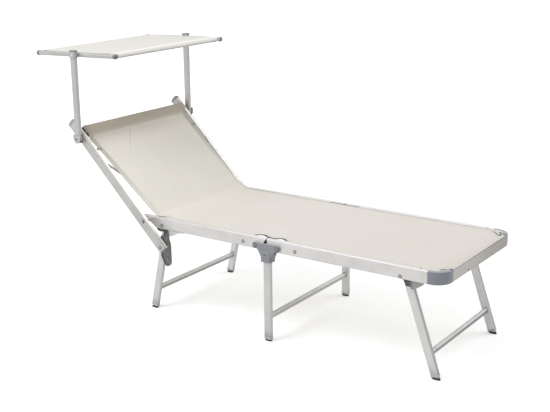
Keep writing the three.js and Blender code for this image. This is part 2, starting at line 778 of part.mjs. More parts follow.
function backPoint(s, n, y) {
  const point = new THREE.Vector3(backOriginX, y, backOriginZ);
  return point.addScaledVector(alongS, s).addScaledVector(alongN, n);
}

function backTube() {
  const section = hollow(backTubeWidth, backTubeDepth, backTubeCorner, backTubeWall);
  const outerFace = -backTubeOuterY;
  const rivet = backPoint(lowerRivetS, 0, outerFace);
  const tube = beam(section, backPoint(backTubeLower, 0, backTubeY), backPoint(backTubeUpper, 0, backTubeY), alongN);
  return solid(tube)
    .subtract(pin(backPivotX, backPivotZ, outerFace - overshoot, outerFace + backTubeWidth + overshoot, boltHoleRadius))
    .add(head(rivet.x, rivet.z, outerFace, rivetRadius, rivetHeight));
}

function backCap() {
  const margin = 2 * backCapMargin;
  const section = polygon(roundedPoints(backTubeWidth + margin, backTubeDepth + margin, backTubeCorner));
  const geometry = new THREE.ExtrudeGeometry(section, {
    depth: backCapThick - backCapDome,
    bevelEnabled: true,
    bevelSize: backCapEdge,
    bevelThickness: backCapDome,
    bevelOffset: -backCapEdge,
    bevelSegments: cornerSteps,
  });
  const across = alongN.clone().cross(alongS).normalize();
  geometry.applyMatrix4(new THREE.Matrix4().makeBasis(across, alongN, alongS));
  const base = backPoint(backTubeUpper + fit, 0, backTubeY);
  geometry.translate(base.x, base.y, base.z);
  const behind = backPoint(backTubeUpper + fit - overshoot, 0, backTubeY);
  const trim = beam(
    polygon(roundedPoints(backTubeDepth + backTubeWidth, 2 * backTubeDepth, backTubeCorner)),
    behind,
    base,
    alongN,
  );
  return solid(geometry).subtract(solid(trim));
}

addPair('back_tube', surface(backTube()), aluminium);
addPair('back_tube_cap', surface(backCap()), capBlack);

const topBarHalf = backTubeOuterY - backTubeWidth - fit;
const topBarSection = hollow(topBarThick, topBarLong, topBarCorner, legWall);
const topBarStart = backPoint(topBarS, topBarN, -topBarHalf);
const topBarEnd = backPoint(topBarS, topBarN, topBarHalf);
add('back_top_bar', beam(topBarSection, topBarStart, topBarEnd, alongS), aluminium);

function backFabric() {
  const reachS = topBarLong / 2 + sleeveSlack + fabricThick / 2;
  const reachN = topBarThick / 2 + sleeveSlack + fabricThick / 2;
  const softS = reachS - topBarCorner / 2;
  const softN = reachN - topBarCorner / 2;
  const line = [
    ...backFabricLine,
    backSleeveFront,
    [topBarS - softS, topBarN + reachN],
    [topBarS + softS, topBarN + reachN],
    [topBarS + reachS, topBarN + softN],
    [topBarS + reachS, topBarN - softN],
    [topBarS + softS, topBarN - reachN],
    [topBarS - softS, topBarN - reachN],
    backSleeveReturn,
  ];
  const depth = 2 * backHalfLower;
  const geometry = new THREE.ExtrudeGeometry(strip(line, fabricThick), { depth, bevelEnabled: false });
  geometry.translate(0, 0, -backHalfLower);
  const firstS = backFabricLine[0][0];
  const lastS = backFabricLine[backFabricLine.length - 1][0];
  const position = geometry.attributes.position;
  for (let i = 0; i < position.count; i += 1) {
    const share = THREE.MathUtils.clamp((position.getX(i) - firstS) / (lastS - firstS), 0, 1);
    position.setZ(i, position.getZ(i) * THREE.MathUtils.lerp(1, backHalfUpper / backHalfLower, share));
  }
  geometry.applyMatrix4(new THREE.Matrix4().makeBasis(alongS, alongN, new THREE.Vector3(0, 1, 0)));
  geometry.translate(backOriginX, 0, backOriginZ);
  return geometry;
}

add('back_fabric', backFabric(), fabricCream);

function strap([from, to]) {
  const section = polygon(roundedPoints(strapWidth, strapThick, strapThick / 3));
  const start = backPoint(from[0], from[1], -from[2]);
  const end = backPoint(to[0], to[1], -to[2]);
  return beam(section, start, end, alongN);
}

addPair('upper_strap', strap(upperStrap), strapDark);
addPair('lower_strap', strap(lowerStrap), strapDark);

// Canopy posts, each in an open mount on the back tube
const postOuterY = postInnerY + postThick;
const postY = -(postInnerY + postThick / 2);

function postMount() {
  const rounded = arc(postPivotX, postPivotZ, mountHalf, 180, 360, curveSteps);
  const shield = polygon([...rounded, [postPivotX + mountHalf, mountTop], [postPivotX - mountHalf, mountTop]]);
  const innerHigh = -backTubeOuterY - fit;
  const innerLow = -postInnerY + fit;
  const outerHigh = -postOuterY - fit;
  const outerLow = outerHigh - mountWall;
  const floorTop = postPivotZ - postWidth / 2 - mountFloorGap;
  const floorSpace = block(
    postPivotX - mountHalf,
    postPivotX + mountHalf,
    outerLow,
    innerHigh,
    postPivotZ - mountHalf - overshoot,
    floorTop,
  );
  return solid(plate(shield, innerLow, innerHigh))
    .add(solid(plate(shield, outerLow, outerHigh)))
    .add(solid(plate(shield, outerLow, innerHigh)).intersect(floorSpace))
    .add(pin(postPivotX, postPivotZ, outerLow, innerHigh, boltRadius))
    .add(head(postPivotX, postPivotZ, outerLow, boltHeadRadius, boltHeadHeight));
}

function post() {
  const section = hollow(postWidth, postThick, postCorner, postWall);
  const start = new THREE.Vector3(postPivotX, postY, postPivotZ);
  const end = new THREE.Vector3(postPivotX, postY, postTop);
  const knuckle = pin(postPivotX, postPivotZ, -postOuterY, -postInnerY, postWidth / 2);
  const hole = (z) => pin(postPivotX, z, -postOuterY - overshoot, -postInnerY + overshoot, boltHoleRadius);
  return solid(beam(section, start, end, sideways)).add(knuckle).subtract(hole(postPivotZ)).subtract(hole(canopyPivotZ));
}

// Cap over each post's head with the bolt that the canopy tilts on
function postCap() {
  const grown = 2 * (postCapWall + fit);
  const outer = polygon(roundedPoints(postWidth + grown, postThick + grown, postCorner, postPivotX, postY));
  const inner = polygon(roundedPoints(postWidth + 2 * fit, postThick + 2 * fit, postCorner, postPivotX, postY));
  const skirtLow = canopyPivotZ - postCapSkirt;
  const tubeSide = block(
    postPivotX - postWidth,
    postPivotX + postWidth,
    -postInnerY - fit / 2,
    -postInnerY + overshoot,
    skirtLow - overshoot,
    postCapTop + overshoot,
  );
  const boltEnd = -canopyTubeY + canopyTubeRadius;
  return solid(slab(outer, skirtLow, postCapTop, postCapEdge))
    .subtract(solid(slab(inner, skirtLow - overshoot, postTop + fit)))
    .subtract(tubeSide)
    .add(pin(postPivotX, canopyPivotZ, -postOuterY - fit - postCapWall / 2, boltEnd, boltRadius));
}

addPair('post_mount', surface(postMount()), steelGrey);
addPair('canopy_post', surface(post()), aluminium);
addPair('post_cap', surface(postCap()), capBlack);

// Canopy frame: two side tubes with end caps, a front and a rear bar
const canopyRun = new THREE.Vector3(canopyFrontX - canopyRearX, 0, canopyRise).normalize();

function canopyPoint(x, y) {
  return new THREE.Vector3(x, y, canopyPivotZ + canopySlope * (x - postPivotX));
}

const sideFront = canopyPoint(canopyFrontX, -canopyTubeY);
const sideRear = canopyPoint(canopyRearX, -canopyTubeY);
const sideTube = solid(beam(tubeShape(canopyTubeRadius, canopyTubeWall), sideRear, sideFront, up))
  .subtract(pin(postPivotX, canopyPivotZ, -canopyTubeY - 2 * canopyTubeRadius, 0, boltHoleRadius));
addPair('canopy_side', surface(sideTube), aluminium);

function endCap(face, outward) {
  const capRadius = canopyTubeRadius + canopyCapMargin;
  const profile = [
    new THREE.Vector2(0, 0),
    new THREE.Vector2(capRadius, 0),
    new THREE.Vector2(capRadius, canopyCapLength - capRadius / 2),
    new THREE.Vector2(capRadius * rivetCrownShare, canopyCapLength - capRadius / 4),
    new THREE.Vector2(0, canopyCapLength),
  ];
  const geometry = new THREE.LatheGeometry(profile, roundSteps);
  geometry.applyQuaternion(new THREE.Quaternion().setFromUnitVectors(new THREE.Vector3(0, 1, 0), outward));
  const start = face.clone().addScaledVector(outward, fit);
  geometry.translate(start.x, start.y, start.z);
  return surface(solid(geometry));
}

addPair('canopy_front_cap', endCap(sideFront, canopyRun), capBlack);
addPair('canopy_rear_cap', endCap(sideRear, canopyRun.clone().negate()), capBlack);

const canopyBarHalf = canopyTubeY - canopyTubeRadius - fit;
const barFrontX = canopyFrontX - canopyBarInset;
const barRearX = canopyRearX + canopyBarInset;

function canopyBar(x) {
  const section = tubeShape(canopyBarRadius, canopyTubeWall);
  return beam(section, canopyPoint(x, -canopyBarHalf), canopyPoint(x, canopyBarHalf), up);
}

add('canopy_front_bar', canopyBar(barFrontX), aluminium);
add('canopy_rear_bar', canopyBar(barRearX), aluminium);

// Canopy cloth: one sheet with a sleeve round each bar and a shallow sag between them
function canopyCloth() {
  const band = canopyBarRadius + sleeveSlack + fabricThick / 2;
  const front = canopyPoint(barFrontX, 0);
  const rear = canopyPoint(barRearX, 0);
  const frontWrap = arc(front.x, front.z, band, -180 + canopyWrapOpen, 90, 2 * curveSteps);
  const rearWrap = arc(rear.x, rear.z, band, 90, fullTurn - canopyWrapOpen, 2 * curveSteps);
  const top = [];
  for (let step = 1; step < canopyClothSteps; step += 1) {
    const share = step / canopyClothSteps;
    const sag = canopySag * Math.sin(Math.PI * share);
    const x = THREE.MathUtils.lerp(front.x, rear.x, share);
    top.push([x, THREE.MathUtils.lerp(front.z, rear.z, share) + band - sag]);
  }
  const shape = strip([...frontWrap, ...top, ...rearWrap], fabricThick);
  return plate(shape, -canopyClothHalf, canopyClothHalf);
}

add('canopy_cloth', canopyCloth(), canopyCream);

// Middle of the object over the origin
const whole = new THREE.Box3().setFromObject(group);
const middleX = (whole.min.x + whole.max.x) / 2;
for (const mesh of group.children) {
  mesh.geometry.translate(-middleX, 0, 0);
}

export default group;
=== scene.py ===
import json
from math import cos, pi, radians, sin

import bmesh
import bpy
import numpy as np
from mathutils import Matrix, Vector


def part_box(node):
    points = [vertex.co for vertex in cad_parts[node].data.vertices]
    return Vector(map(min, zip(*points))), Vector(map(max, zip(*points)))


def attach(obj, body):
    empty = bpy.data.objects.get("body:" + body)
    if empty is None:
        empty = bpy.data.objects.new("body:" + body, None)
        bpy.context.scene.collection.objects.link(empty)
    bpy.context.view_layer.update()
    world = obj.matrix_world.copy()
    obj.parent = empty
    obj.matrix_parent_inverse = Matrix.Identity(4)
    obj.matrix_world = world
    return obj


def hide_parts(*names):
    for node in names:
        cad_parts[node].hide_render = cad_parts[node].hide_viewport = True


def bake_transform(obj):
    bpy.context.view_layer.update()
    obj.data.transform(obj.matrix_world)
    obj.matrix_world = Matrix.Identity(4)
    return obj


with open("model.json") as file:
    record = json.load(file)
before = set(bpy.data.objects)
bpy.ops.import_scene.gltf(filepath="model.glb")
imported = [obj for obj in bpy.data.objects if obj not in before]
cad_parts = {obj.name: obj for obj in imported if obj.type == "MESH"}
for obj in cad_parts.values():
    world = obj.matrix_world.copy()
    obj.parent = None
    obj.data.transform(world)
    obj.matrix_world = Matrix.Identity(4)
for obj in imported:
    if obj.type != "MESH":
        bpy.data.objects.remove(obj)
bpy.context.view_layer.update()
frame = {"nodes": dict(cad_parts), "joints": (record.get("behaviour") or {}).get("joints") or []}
bpy.context.scene.view_settings.view_transform = "Standard"

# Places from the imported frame
nodes = frame["nodes"]
joints = {joint["name"]: Vector(joint["pos_m"]) for joint in frame["joints"]}
fold_x = (joints["seat_section_fold"].x + joints["foot_section_fold"].x) / 2
back_pivot = joints["backrest_recline"]
fabric_low, fabric_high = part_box("foot_fabric")
fabric_z = (fabric_low.z + fabric_high.z) / 2
groove_half = fabric_high.y
rail_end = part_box("foot_rail_left")[1].x
end_rail_low, end_rail_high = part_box("end_rail")
rail_top = end_rail_high.z
# Right is the side near the camera
SIDES = (("right", -1), ("left", 1))

# Places measured from the middle legs
SEAT_RIVET = (-0.114, 0.399)
FOOT_RIVET = (0.132, 0.399)
HEAD_LEG_BOLT = (-0.535, 0.394)
FOOT_LEG_BOLT = (0.585, 0.388)
PAD_BOLTS = ((-0.536, 0.261), (-0.536, 0.235))
BACK_ORIGIN = (-0.602, 0.404)
BACK_TURN = radians(45)
LOWER_RIVET_S = -0.129
RAIL_WIDTH = 0.020
CORNER_RADIUS = 0.060
CORNER_CENTRE = (0.700, 0.247)

# Camera at the photograph's place and angle, measured from the middle legs
CAMERA_PLACE = (2.19464469, -3.40914033, 1.64338457)
CAMERA_YAW = 34.72806826
CAMERA_PITCH = 15.92856372
CAMERA_ROLL = -0.59302
LENS = 67.1399
SENSOR = 36
IMAGE_WIDTH = 550
CENTRE_OFFSET = 0.5

# Sheets of cloth
CLOTH = 0.0012
HEM = 0.024
CANOPY_HEM = 0.018
HEM_EXTRA = 0.0012
HEM_STEP = 0.0012
HEM_CLEAR = 0.012
CROSS_STEPS = 44
WARP = 0.0016
WEFT = 0.0013
STITCH_FROM_HEM = 0.003
STITCH_PITCH = 0.004
STITCH_HALF = 0.0005
CREASE_FADE = 0.02
EDGE_SHADOW_BAND = (0.0085, 0.0100)

# Surfaces
METAL_EDGE = 0.0012
PLASTIC_EDGE = 0.0015
GRAIN_DEPTH = 0.0002
# Half reach of the end rail's painted shade across the lounger
DRIFT_HALF = 0.26
LOW_DARK_HEIGHTS = (0.012, 0.055)
CRISP_DEGREES = 32
SHARP_DEGREES = 40
MERGE = 0.00001

# Colours
CREAM = (0.715, 0.685, 0.635)
CREAM_DARK = (0.60, 0.56, 0.50)
# The back cloth is the seat's cloth painted lighter, painted light; the fold tone between them is painted
# light too
LIT_BACK_CREAM = (0.815, 0.785, 0.715)
BACK_DARK = (0.57, 0.55, 0.49)
FOLD_CREAM = (0.768, 0.738, 0.675)
# Darker tone up the back's hems: painted shade
BACK_HEM_SHADE = (0.46, 0.46, 0.41)
SLEEVE_SHADE = (0.40, 0.345, 0.275)
CANOPY_CREAM = (0.725, 0.70, 0.655)
CANOPY_DARK = (0.62, 0.605, 0.56)
CANOPY_SLEEVE_HIGHLIGHT = (0.92, 0.91, 0.87)
ALUMINIUM = (0.605, 0.594, 0.583)
# Leg, crossbar, post, back tube and end rail tones: the same aluminium painted lighter or darker part by
# part, as painted light and shade
MIDDLE_ALUMINIUM = (0.55, 0.545, 0.538)
HEAD_ALUMINIUM = (0.59, 0.585, 0.577)
FOOT_ALUMINIUM = (0.63, 0.625, 0.617)
CROSS_ALUMINIUM = (0.70, 0.69, 0.682)
POST_ALUMINIUM = (0.44, 0.435, 0.428)
BACK_ALUMINIUM = (0.46, 0.455, 0.44)
CANOPY_ALUMINIUM = (0.43, 0.435, 0.42)
END_ALUMINIUM = (0.465, 0.438, 0.41)
BAR_ALUMINIUM = (0.52, 0.515, 0.50)
# Near black for painted shade: groove lines, the line under the lip and the slot floors
PAINTED_SHADE_DARK = (0.15, 0.15, 0.147)
RIVET_GREY = (0.30, 0.30, 0.295)
RIVET_DARK = (0.085, 0.085, 0.085)
GREY_PLASTIC = (0.255, 0.265, 0.285)
CORNER_PLASTIC = (0.235, 0.245, 0.285)
CORNER_TOP_HIGHLIGHT = (0.36, 0.36, 0.39)
COVER_PLASTIC = (0.64, 0.66, 0.615)
CLAMP_PLASTIC = (0.42, 0.42, 0.415)
CAP_PLASTIC = (0.16, 0.16, 0.163)
CAP_TOP_HIGHLIGHT = (0.5, 0.5, 0.49)
CAP_INNER_LIGHT = (0.45, 0.45, 0.44)
TUBE_CAP_PLASTIC = (0.36, 0.36, 0.36)
STEEL = (0.125, 0.125, 0.125)
STEEL_SCUFF = (0.30, 0.30, 0.30)
BOLT_RIM = (0.42, 0.42, 0.42)
BRACKET_SHADOW_BLACK = (0.050, 0.050, 0.049)
BRACKET_LIT_GREY = (0.34, 0.34, 0.33)
MOUNT_STEEL = (0.42, 0.42, 0.415)
MOUNT_SCUFF = (0.50, 0.50, 0.49)
MOUNT_EDGE_SHADOW = (0.24, 0.24, 0.235)
MOUNT_INNER_LIGHT = (0.62, 0.62, 0.61)
DARK_STEEL = (0.045, 0.045, 0.047)
SCREW_SCUFF = (0.12, 0.12, 0.12)
SCREW_ALUMINIUM = (0.72, 0.72, 0.71)
# Black of the rubber tips, also used for the painted shadow along the cloth's edge at the middle fold
RUBBER_AND_SHADOW_BLACK = (0.035, 0.035, 0.036)
SHOE_LIGHT = (0.56, 0.56, 0.55)
STRAP_DARK = (0.31, 0.305, 0.27)


def linked(name, data):
    made = bpy.data.objects.new(name, data)
    bpy.context.scene.collection.objects.link(made)
    return made


def camera():
    yaw, pitch, roll = (radians(a) for a in (CAMERA_YAW, CAMERA_PITCH, CAMERA_ROLL))
    ahead = Vector((-sin(yaw) * cos(pitch), cos(yaw) * cos(pitch), -sin(pitch)))
    level = Vector((cos(yaw), sin(yaw), 0))
    upward = level.cross(ahead)
    right = cos(roll) * level + sin(roll) * upward
    top = -sin(roll) * level + cos(roll) * upward
    data = bpy.data.cameras.new("photo_camera")
    data.lens = LENS
    data.sensor_width = SENSOR
    data.shift_x = -CENTRE_OFFSET / IMAGE_WIDTH
    data.shift_y = CENTRE_OFFSET / IMAGE_WIDTH
    made = linked("photo_camera", data)
    turn = Matrix((right, top, -ahead)).transposed().to_4x4()
    made.matrix_world = Matrix.Translation(Vector(CAMERA_PLACE) + Vector((fold_x, 0, 0))) @ turn
    bpy.context.scene.camera = made


camera()


# Node building
def node(tree, kind, inputs=None, **settings):
    made = tree.nodes.new(kind)
    for key, value in settings.items():
        setattr(made, key, value)
    for key, value in (inputs or {}).items():
        if isinstance(value, bpy.types.NodeSocket):
            tree.links.new(value, made.inputs[key])
        else:
            made.inputs[key].default_value = value
    return made


def calc(tree, operation, first, second=0.0, third=0.0):
    return node(tree, "ShaderNodeMath", {0: first, 1: second, 2: third}, operation=operation).outputs[0]


def times(tree, first, second):
    return calc(tree, "MULTIPLY", first, second)


def less(tree, first, second):
    return calc(tree, "SUBTRACT", first, second)


def distance(tree, first, second):
    return calc(tree, "ABSOLUTE", less(tree, first, second))


def mixed(tree, share, first, second):
    first, second = ((*colour, 1) if isinstance(colour, tuple) else colour for colour in (first, second))
    return node(tree, "ShaderNodeMix", {0: share, 6: first, 7: second}, data_type="RGBA").outputs[2]


# A colour with others laid over it, each with its share
def layered(tree, colour, layers):
    for share, other in layers:
        colour = mixed(tree, share, colour, other)
    return colour


def span(tree, value, low, high, to_low=0.0, to_high=1.0):
    inputs = {0: value, 1: low, 2: high, 3: to_low, 4: to_high}
    return node(tree, "ShaderNodeMapRange", inputs, interpolation_type="SMOOTHSTEP").outputs[0]


def begin(name, roughness, metallic=0.0):
    made = bpy.data.materials.new(name)
    made.use_nodes = True
    tree = made.node_tree
    shader = tree.nodes["Principled BSDF"]
    shader.inputs["Roughness"].default_value = roughness
    shader.inputs["Metallic"].default_value = metallic
    return made, tree, shader


def paint(tree, shader, colour):
    tree.links.new(colour, shader.inputs["Base Color"])


def object_place(tree):
    return node(tree, "ShaderNodeTexCoord").outputs["Object"]


def face_normal(tree):
    return node(tree, "ShaderNodeNewGeometry").outputs["Normal"]


def part_of(tree, vector, axis):
    return node(tree, "ShaderNodeSeparateXYZ", {0: vector}).outputs[axis]


def noise(tree, where, scale, detail=2.0):
    return node(tree, "ShaderNodeTexNoise", {"Vector": where, "Scale": scale, "Detail": detail}).outputs[0]


def turned_place(tree, where, turn):
    return node(tree, "ShaderNodeMapping", {"Vector": where, "Rotation": (0, turn, 0)}).outputs[0]


def stretched(tree, where, scale, turn=0.0):
    inputs = {"Vector": turned_place(tree, where, turn), "Scale": scale}
    return node(tree, "ShaderNodeMapping", inputs).outputs[0]


def relief(tree, shader, height, strength, reach, normal=None):
    inputs = {"Height": height, "Strength": strength, "Distance": reach}
    if normal is not None:
        inputs["Normal"] = normal
    tree.links.new(node(tree, "ShaderNodeBump", inputs).outputs[0], shader.inputs["Normal"])


def soft_edges(tree, radius):
    return node(tree, "ShaderNodeBevel", {"Radius": radius}, samples=6).outputs[0]


def edge_share(tree, softened, gain):
    inputs = {0: softened, 1: face_normal(tree)}
    same = node(tree, "ShaderNodeVectorMath", inputs, operation="DOT_PRODUCT").outputs["Value"]
    return node(tree, "ShaderNodeClamp", {0: times(tree, less(tree, 1.0, same), gain)}).outputs[0]


def facing_up(tree, low, high):
    return span(tree, part_of(tree, face_normal(tree), "Z"), low, high)


# Share of the faces that look towards the lounger's middle line
def facing_in(tree, where):
    side = calc(tree, "SIGN", part_of(tree, where, "Y"))
    return span(tree, times(tree, part_of(tree, face_normal(tree), "Y"), side), -0.8, -0.3, 1.0, 0.0)


def scaled(colour, factor):
    return tuple(min(1.0, factor * c) for c in colour)


# Distance from an axis that runs across the lounger, and the share of a thin ring round it
def off_axis(tree, where, centre):
    across = less(tree, part_of(tree, where, "X"), centre[0])
    rise = less(tree, part_of(tree, where, "Z"), centre[1])
    return calc(tree, "SQRT", calc(tree, "ADD", times(tree, across, across), times(tree, rise, rise)))


def ring_share(tree, where, centre, radius, half):
    off = distance(tree, off_axis(tree, where, centre), radius)
    return span(tree, off, half * 0.6, half * 1.4, 1.0, 0.0)


def from_legs(place):
    return (fold_x + place[0], place[1])


def back_place(s, n):
    reach = cos(BACK_TURN)
    return fold_x + BACK_ORIGIN[0] + reach * (n - s), BACK_ORIGIN[1] + reach * (n + s)


# Drawn aluminium: lines along the extrusion, cloudy anodising, edges brightened by wear and a painted
# highlight.
# Where asked, rings round the rivets, a groove drawn as a dark line with painted shade below it, painted
# light and shade on end, inner and top faces, darker near the shoes, painted shade growing towards the left
# and a painted shadow line under the lip
def aluminium(
    name, along, base=ALUMINIUM, turn=0.0, rings=(), groove=None, ends=None, low_darkening=0.0, drift=0.0, lip=None,
    inner=None, top=None, top_reach=None,
):
    made, tree, shader = begin(name, 0.42, 0.55)
    where = object_place(tree)
    fine = tuple(8 if axis == along else 900 for axis in "xyz")
    lines = noise(tree, stretched(tree, where, fine, turn), 1.0)
    clouds = noise(tree, where, 9.0, 3.0)
    softened = soft_edges(tree, METAL_EDGE)
    layers = [
        (span(tree, clouds, 0.35, 0.68), scaled(base, 0.90)),
        (times(tree, lines, 0.12), scaled(base, 0.76)),
    ]
    for centre, radius, half in rings:
        share = span(tree, off_axis(tree, where, centre), radius - half, radius, 0.8, 0.0)
        layers += [(share, RIVET_GREY), (ring_share(tree, where, centre, radius, half), RIVET_DARK)]
    height = part_of(tree, where, "Z")
    if groove is not None:
        # The groove drawn as a dark line, and the bar darker below it: painted shade
        middle, below = groove
        share = span(tree, height, middle - 0.001, middle + 0.001, below, 0.0)
        line = span(tree, distance(tree, height, middle), 0.0008, 0.0018, 0.75, 0.0)
        layers += [(share, scaled(base, 0.34)), (line, PAINTED_SHADE_DARK)]
    if ends is not None:
        # End faces in another tone: painted shade
        lengthwise = calc(tree, "ABSOLUTE", part_of(tree, face_normal(tree), "X"))
        layers.append((span(tree, lengthwise, 0.4, 0.8), scaled(base, ends)))
    # Darker near the shoes
    if low_darkening:
        layers.append((span(tree, height, *LOW_DARK_HEIGHTS, low_darkening, 0.0), scaled(base, 0.4)))
    # Painted shade growing along the rail towards the left
    if drift:
        share = span(tree, part_of(tree, where, "Y"), -DRIFT_HALF, DRIFT_HALF, 0.0, drift)
        layers.append((share, scaled(base, 0.6)))
    # A painted shadow line under the lip
    if lip is not None:
        layers.append((span(tree, distance(tree, height, lip), 0.0008, 0.0020, 0.70, 0.0), PAINTED_SHADE_DARK))
    # Inner faces in another tone: painted light and shade
    if inner is not None:
        layers.append((facing_in(tree, where), scaled(base, inner)))
    # Top faces lighter: a painted highlight
    if top is not None:
        low, high, gain = top
        share = facing_up(tree, low, high)
        if top_reach is not None:
            out = calc(tree, "ABSOLUTE", part_of(tree, where, "Y"))
            share = times(tree, share, span(tree, out, top_reach - 0.001, top_reach + 0.001, 1.0, 0.1))
        layers.append((share, scaled(base, gain)))
    # Brighter edges: edge wear and a painted highlight
    layers.append((edge_share(tree, softened, 3.0), scaled(base, 1.25)))
    paint(tree, shader, layered(tree, base, layers))
    tree.links.new(span(tree, lines, 0.2, 0.8, 0.34, 0.50), shader.inputs["Roughness"])
    relief(tree, shader, lines, 0.12, GRAIN_DEPTH, softened)
    return made


# Moulded plastic: fine grain, slight colour drift, softened edges lightened by wear and a painted highlight,
# top faces paler as a painted highlight, and its marks
def plastic(
    name, base, roughness, grain=0.25, edge_gain=2.0, top=0.0, top_colour=None, edge=None, marks=None,
    metallic=0.0,
):
    made, tree, shader = begin(name, roughness, metallic)
    where = object_place(tree)
    fine = noise(tree, where, 1400.0)
    cloudy = noise(tree, where, 28.0)
    softened = soft_edges(tree, PLASTIC_EDGE)
    light = edge or tuple(min(1.0, 1.5 * c + 0.02) for c in base)
    layers = [
        (span(tree, cloudy, 0.3, 0.7, 0.0, 0.35), scaled(base, 0.8)),
        # Edges lighter: edge wear and a painted highlight
        (times(tree, edge_share(tree, softened, edge_gain), 0.6), light),
    ]
    # Top faces paler: a painted highlight
    if top:
        layers.append((times(tree, facing_up(tree, 0.3, 0.9), top), top_colour or scaled(light, 1.5)))
    if marks is not None:
        layers += marks(tree, where)
    paint(tree, shader, layered(tree, base, layers))
    relief(tree, shader, fine, grain, GRAIN_DEPTH, softened)
    return made


# Pressed steel: a smooth coat with scuffs, its edges lightened as a painted highlight unless an edge colour
# is given
def steel(name, base, scuffed=STEEL_SCUFF, edge=None, marks=None):
    def worn(tree, where):
        scuffs = noise(tree, stretched(tree, where, (60, 60, 260)), 1.0, 4.0)
        layers = [(span(tree, scuffs, 0.50, 0.70, 0.0, 0.6), scuffed)]
        return layers + (marks(tree, where) if marks else [])

    return plastic(name, base, 0.42, 0.15, 5.0, edge=edge, marks=worn, metallic=0.4)


def put(material, *names):
    for name in names:
        mesh = nodes[name].data
        mesh.materials.clear()
        mesh.materials.append(material)


def both(*stems):
    return [f"{stem}_{side}" for stem in stems for side, sign in SIDES]


# Round faceted parts are shaded evenly, with crisp edges kept
def even_shading():
    tree = bpy.data.node_groups.new("even_shading", "GeometryNodeTree")
    for way in ("INPUT", "OUTPUT"):
        tree.interface.new_socket("Geometry", in_out=way, socket_type="NodeSocketGeometry")
    tree.is_modifier = True
    start = tree.nodes.new("NodeGroupInput").outputs[0]
    inputs = {"Geometry": start, "Name": "custom_normal"}
    plain = node(tree, "GeometryNodeRemoveAttribute", inputs).outputs[0]
    merged = node(tree, "GeometryNodeMergeByDistance", {"Geometry": plain, "Distance": MERGE}).outputs[0]
    inputs = {"Geometry": merged, "Shade Smooth": True}
    faces = node(tree, "GeometryNodeSetShadeSmooth", inputs, domain="FACE").outputs[0]
    angle = node(tree, "GeometryNodeInputMeshEdgeAngle").outputs["Unsigned Angle"]
    inputs = {0: angle, 1: radians(CRISP_DEGREES)}
    sharp = node(tree, "FunctionNodeCompare", inputs, data_type="FLOAT", operation="GREATER_THAN").outputs[0]
    inputs = {"Geometry": faces, "Selection": sharp, "Shade Smooth": False}
    edges = node(tree, "GeometryNodeSetShadeSmooth", inputs, domain="EDGE").outputs[0]
    tree.links.new(edges, tree.nodes.new("NodeGroupOutput").inputs[0])
    return tree


even = even_shading()
for name in both("end_corner", "canopy_side", "fold_saddle"):
    nodes[name].modifiers.new("even", "NODES").node_group = even

# Aluminium parts. A painted highlight on top faces is given by the rise of the face where it starts and is
# full, and its gain
RIVET_RING = 0.0062
BOLT_RING = 0.0070
MOUNT_RING = 0.0050
RING_HALF = 0.0014
RAIL_TOP_HIGHLIGHT = (0.80, 0.95, 1.22)
END_TOP_HIGHLIGHT = (0.80, 0.95, 1.35)
BACK_TOP_HIGHLIGHT = (0.45, 0.65, 1.95)
BACK_TOP_REACH = 0.0125
# Drop of the painted shadow line under the end rail's top
LIP_DROP = 0.0030
LEG_LOW_DARK = 0.55
# Name, tone, gain of the end faces and of the inner faces; tones and gains are painted light and shade
LEG_SETS = (
    ("middle_leg", MIDDLE_ALUMINIUM, 1.0, 1.25),
    ("head_leg", HEAD_ALUMINIUM, 0.85, 1.2),
    ("foot_leg", FOOT_ALUMINIUM, 0.60, 0.95),
)
# Place, height of the groove over the bar's middle and share of the shade below it
CROSSBARS = (("middle", 0.0, 0.28), ("head", -0.0005, 0.62), ("foot", 0.0025, 0.90))


def rail_ring(place, radius=RIVET_RING):
    return (from_legs(place), radius, RING_HALF)


pivot_ring = ((back_pivot.x, back_pivot.z), BOLT_RING, RING_HALF)
seat_rings = [rail_ring(SEAT_RIVET), rail_ring(HEAD_LEG_BOLT, BOLT_RING), pivot_ring]
foot_rings = [rail_ring(FOOT_RIVET), rail_ring(FOOT_LEG_BOLT)]
seat_metal = aluminium("aluminium_seat_rail", "x", rings=seat_rings, top=RAIL_TOP_HIGHLIGHT)
put(seat_metal, *both("seat_rail", "rail_gusset"))
put(aluminium("aluminium_foot_rail", "x", rings=foot_rings, top=RAIL_TOP_HIGHLIGHT), *both("foot_rail"))
end_metal = aluminium("aluminium_end", "y", END_ALUMINIUM, top=END_TOP_HIGHLIGHT, lip=rail_top - LIP_DROP, drift=1.0)
put(end_metal, "end_rail")
for stem, base, ends, inner in LEG_SETS:
    put(aluminium(f"aluminium_{stem}", "z", base, inner=inner, ends=ends, low_darkening=LEG_LOW_DARK), *both(stem))
post_foot = joints["canopy_post_tilt"]
mount_ring = ((post_foot.x, post_foot.z), MOUNT_RING, RING_HALF)
put(aluminium("aluminium_post", "z", POST_ALUMINIUM, rings=[mount_ring], inner=1.2), *both("canopy_post"))
back_rings = [pivot_ring, (back_place(LOWER_RIVET_S, 0), RIVET_RING, RING_HALF)]
back_reach_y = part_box("back_tube_left")[0].y + BACK_TOP_REACH
back_metal = aluminium(
    "aluminium_back", "x", BACK_ALUMINIUM, BACK_TURN, back_rings, top=BACK_TOP_HIGHLIGHT, top_reach=back_reach_y
)
put(back_metal, *both("back_tube"))
put(aluminium("aluminium_canopy", "x", CANOPY_ALUMINIUM, inner=1.6), *both("canopy_side"))
bars = ("seat_head_bar", "back_top_bar", "canopy_front_bar", "canopy_rear_bar")
put(aluminium("aluminium_bar", "y", BAR_ALUMINIUM), *bars)
for label, rise, below in CROSSBARS:
    name = f"{label}_crossbar"
    low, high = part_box(name)
    middle = (low.z + high.z) / 2 + rise
    put(aluminium(f"aluminium_{name}", "y", CROSS_ALUMINIUM, groove=(middle, below)), name)

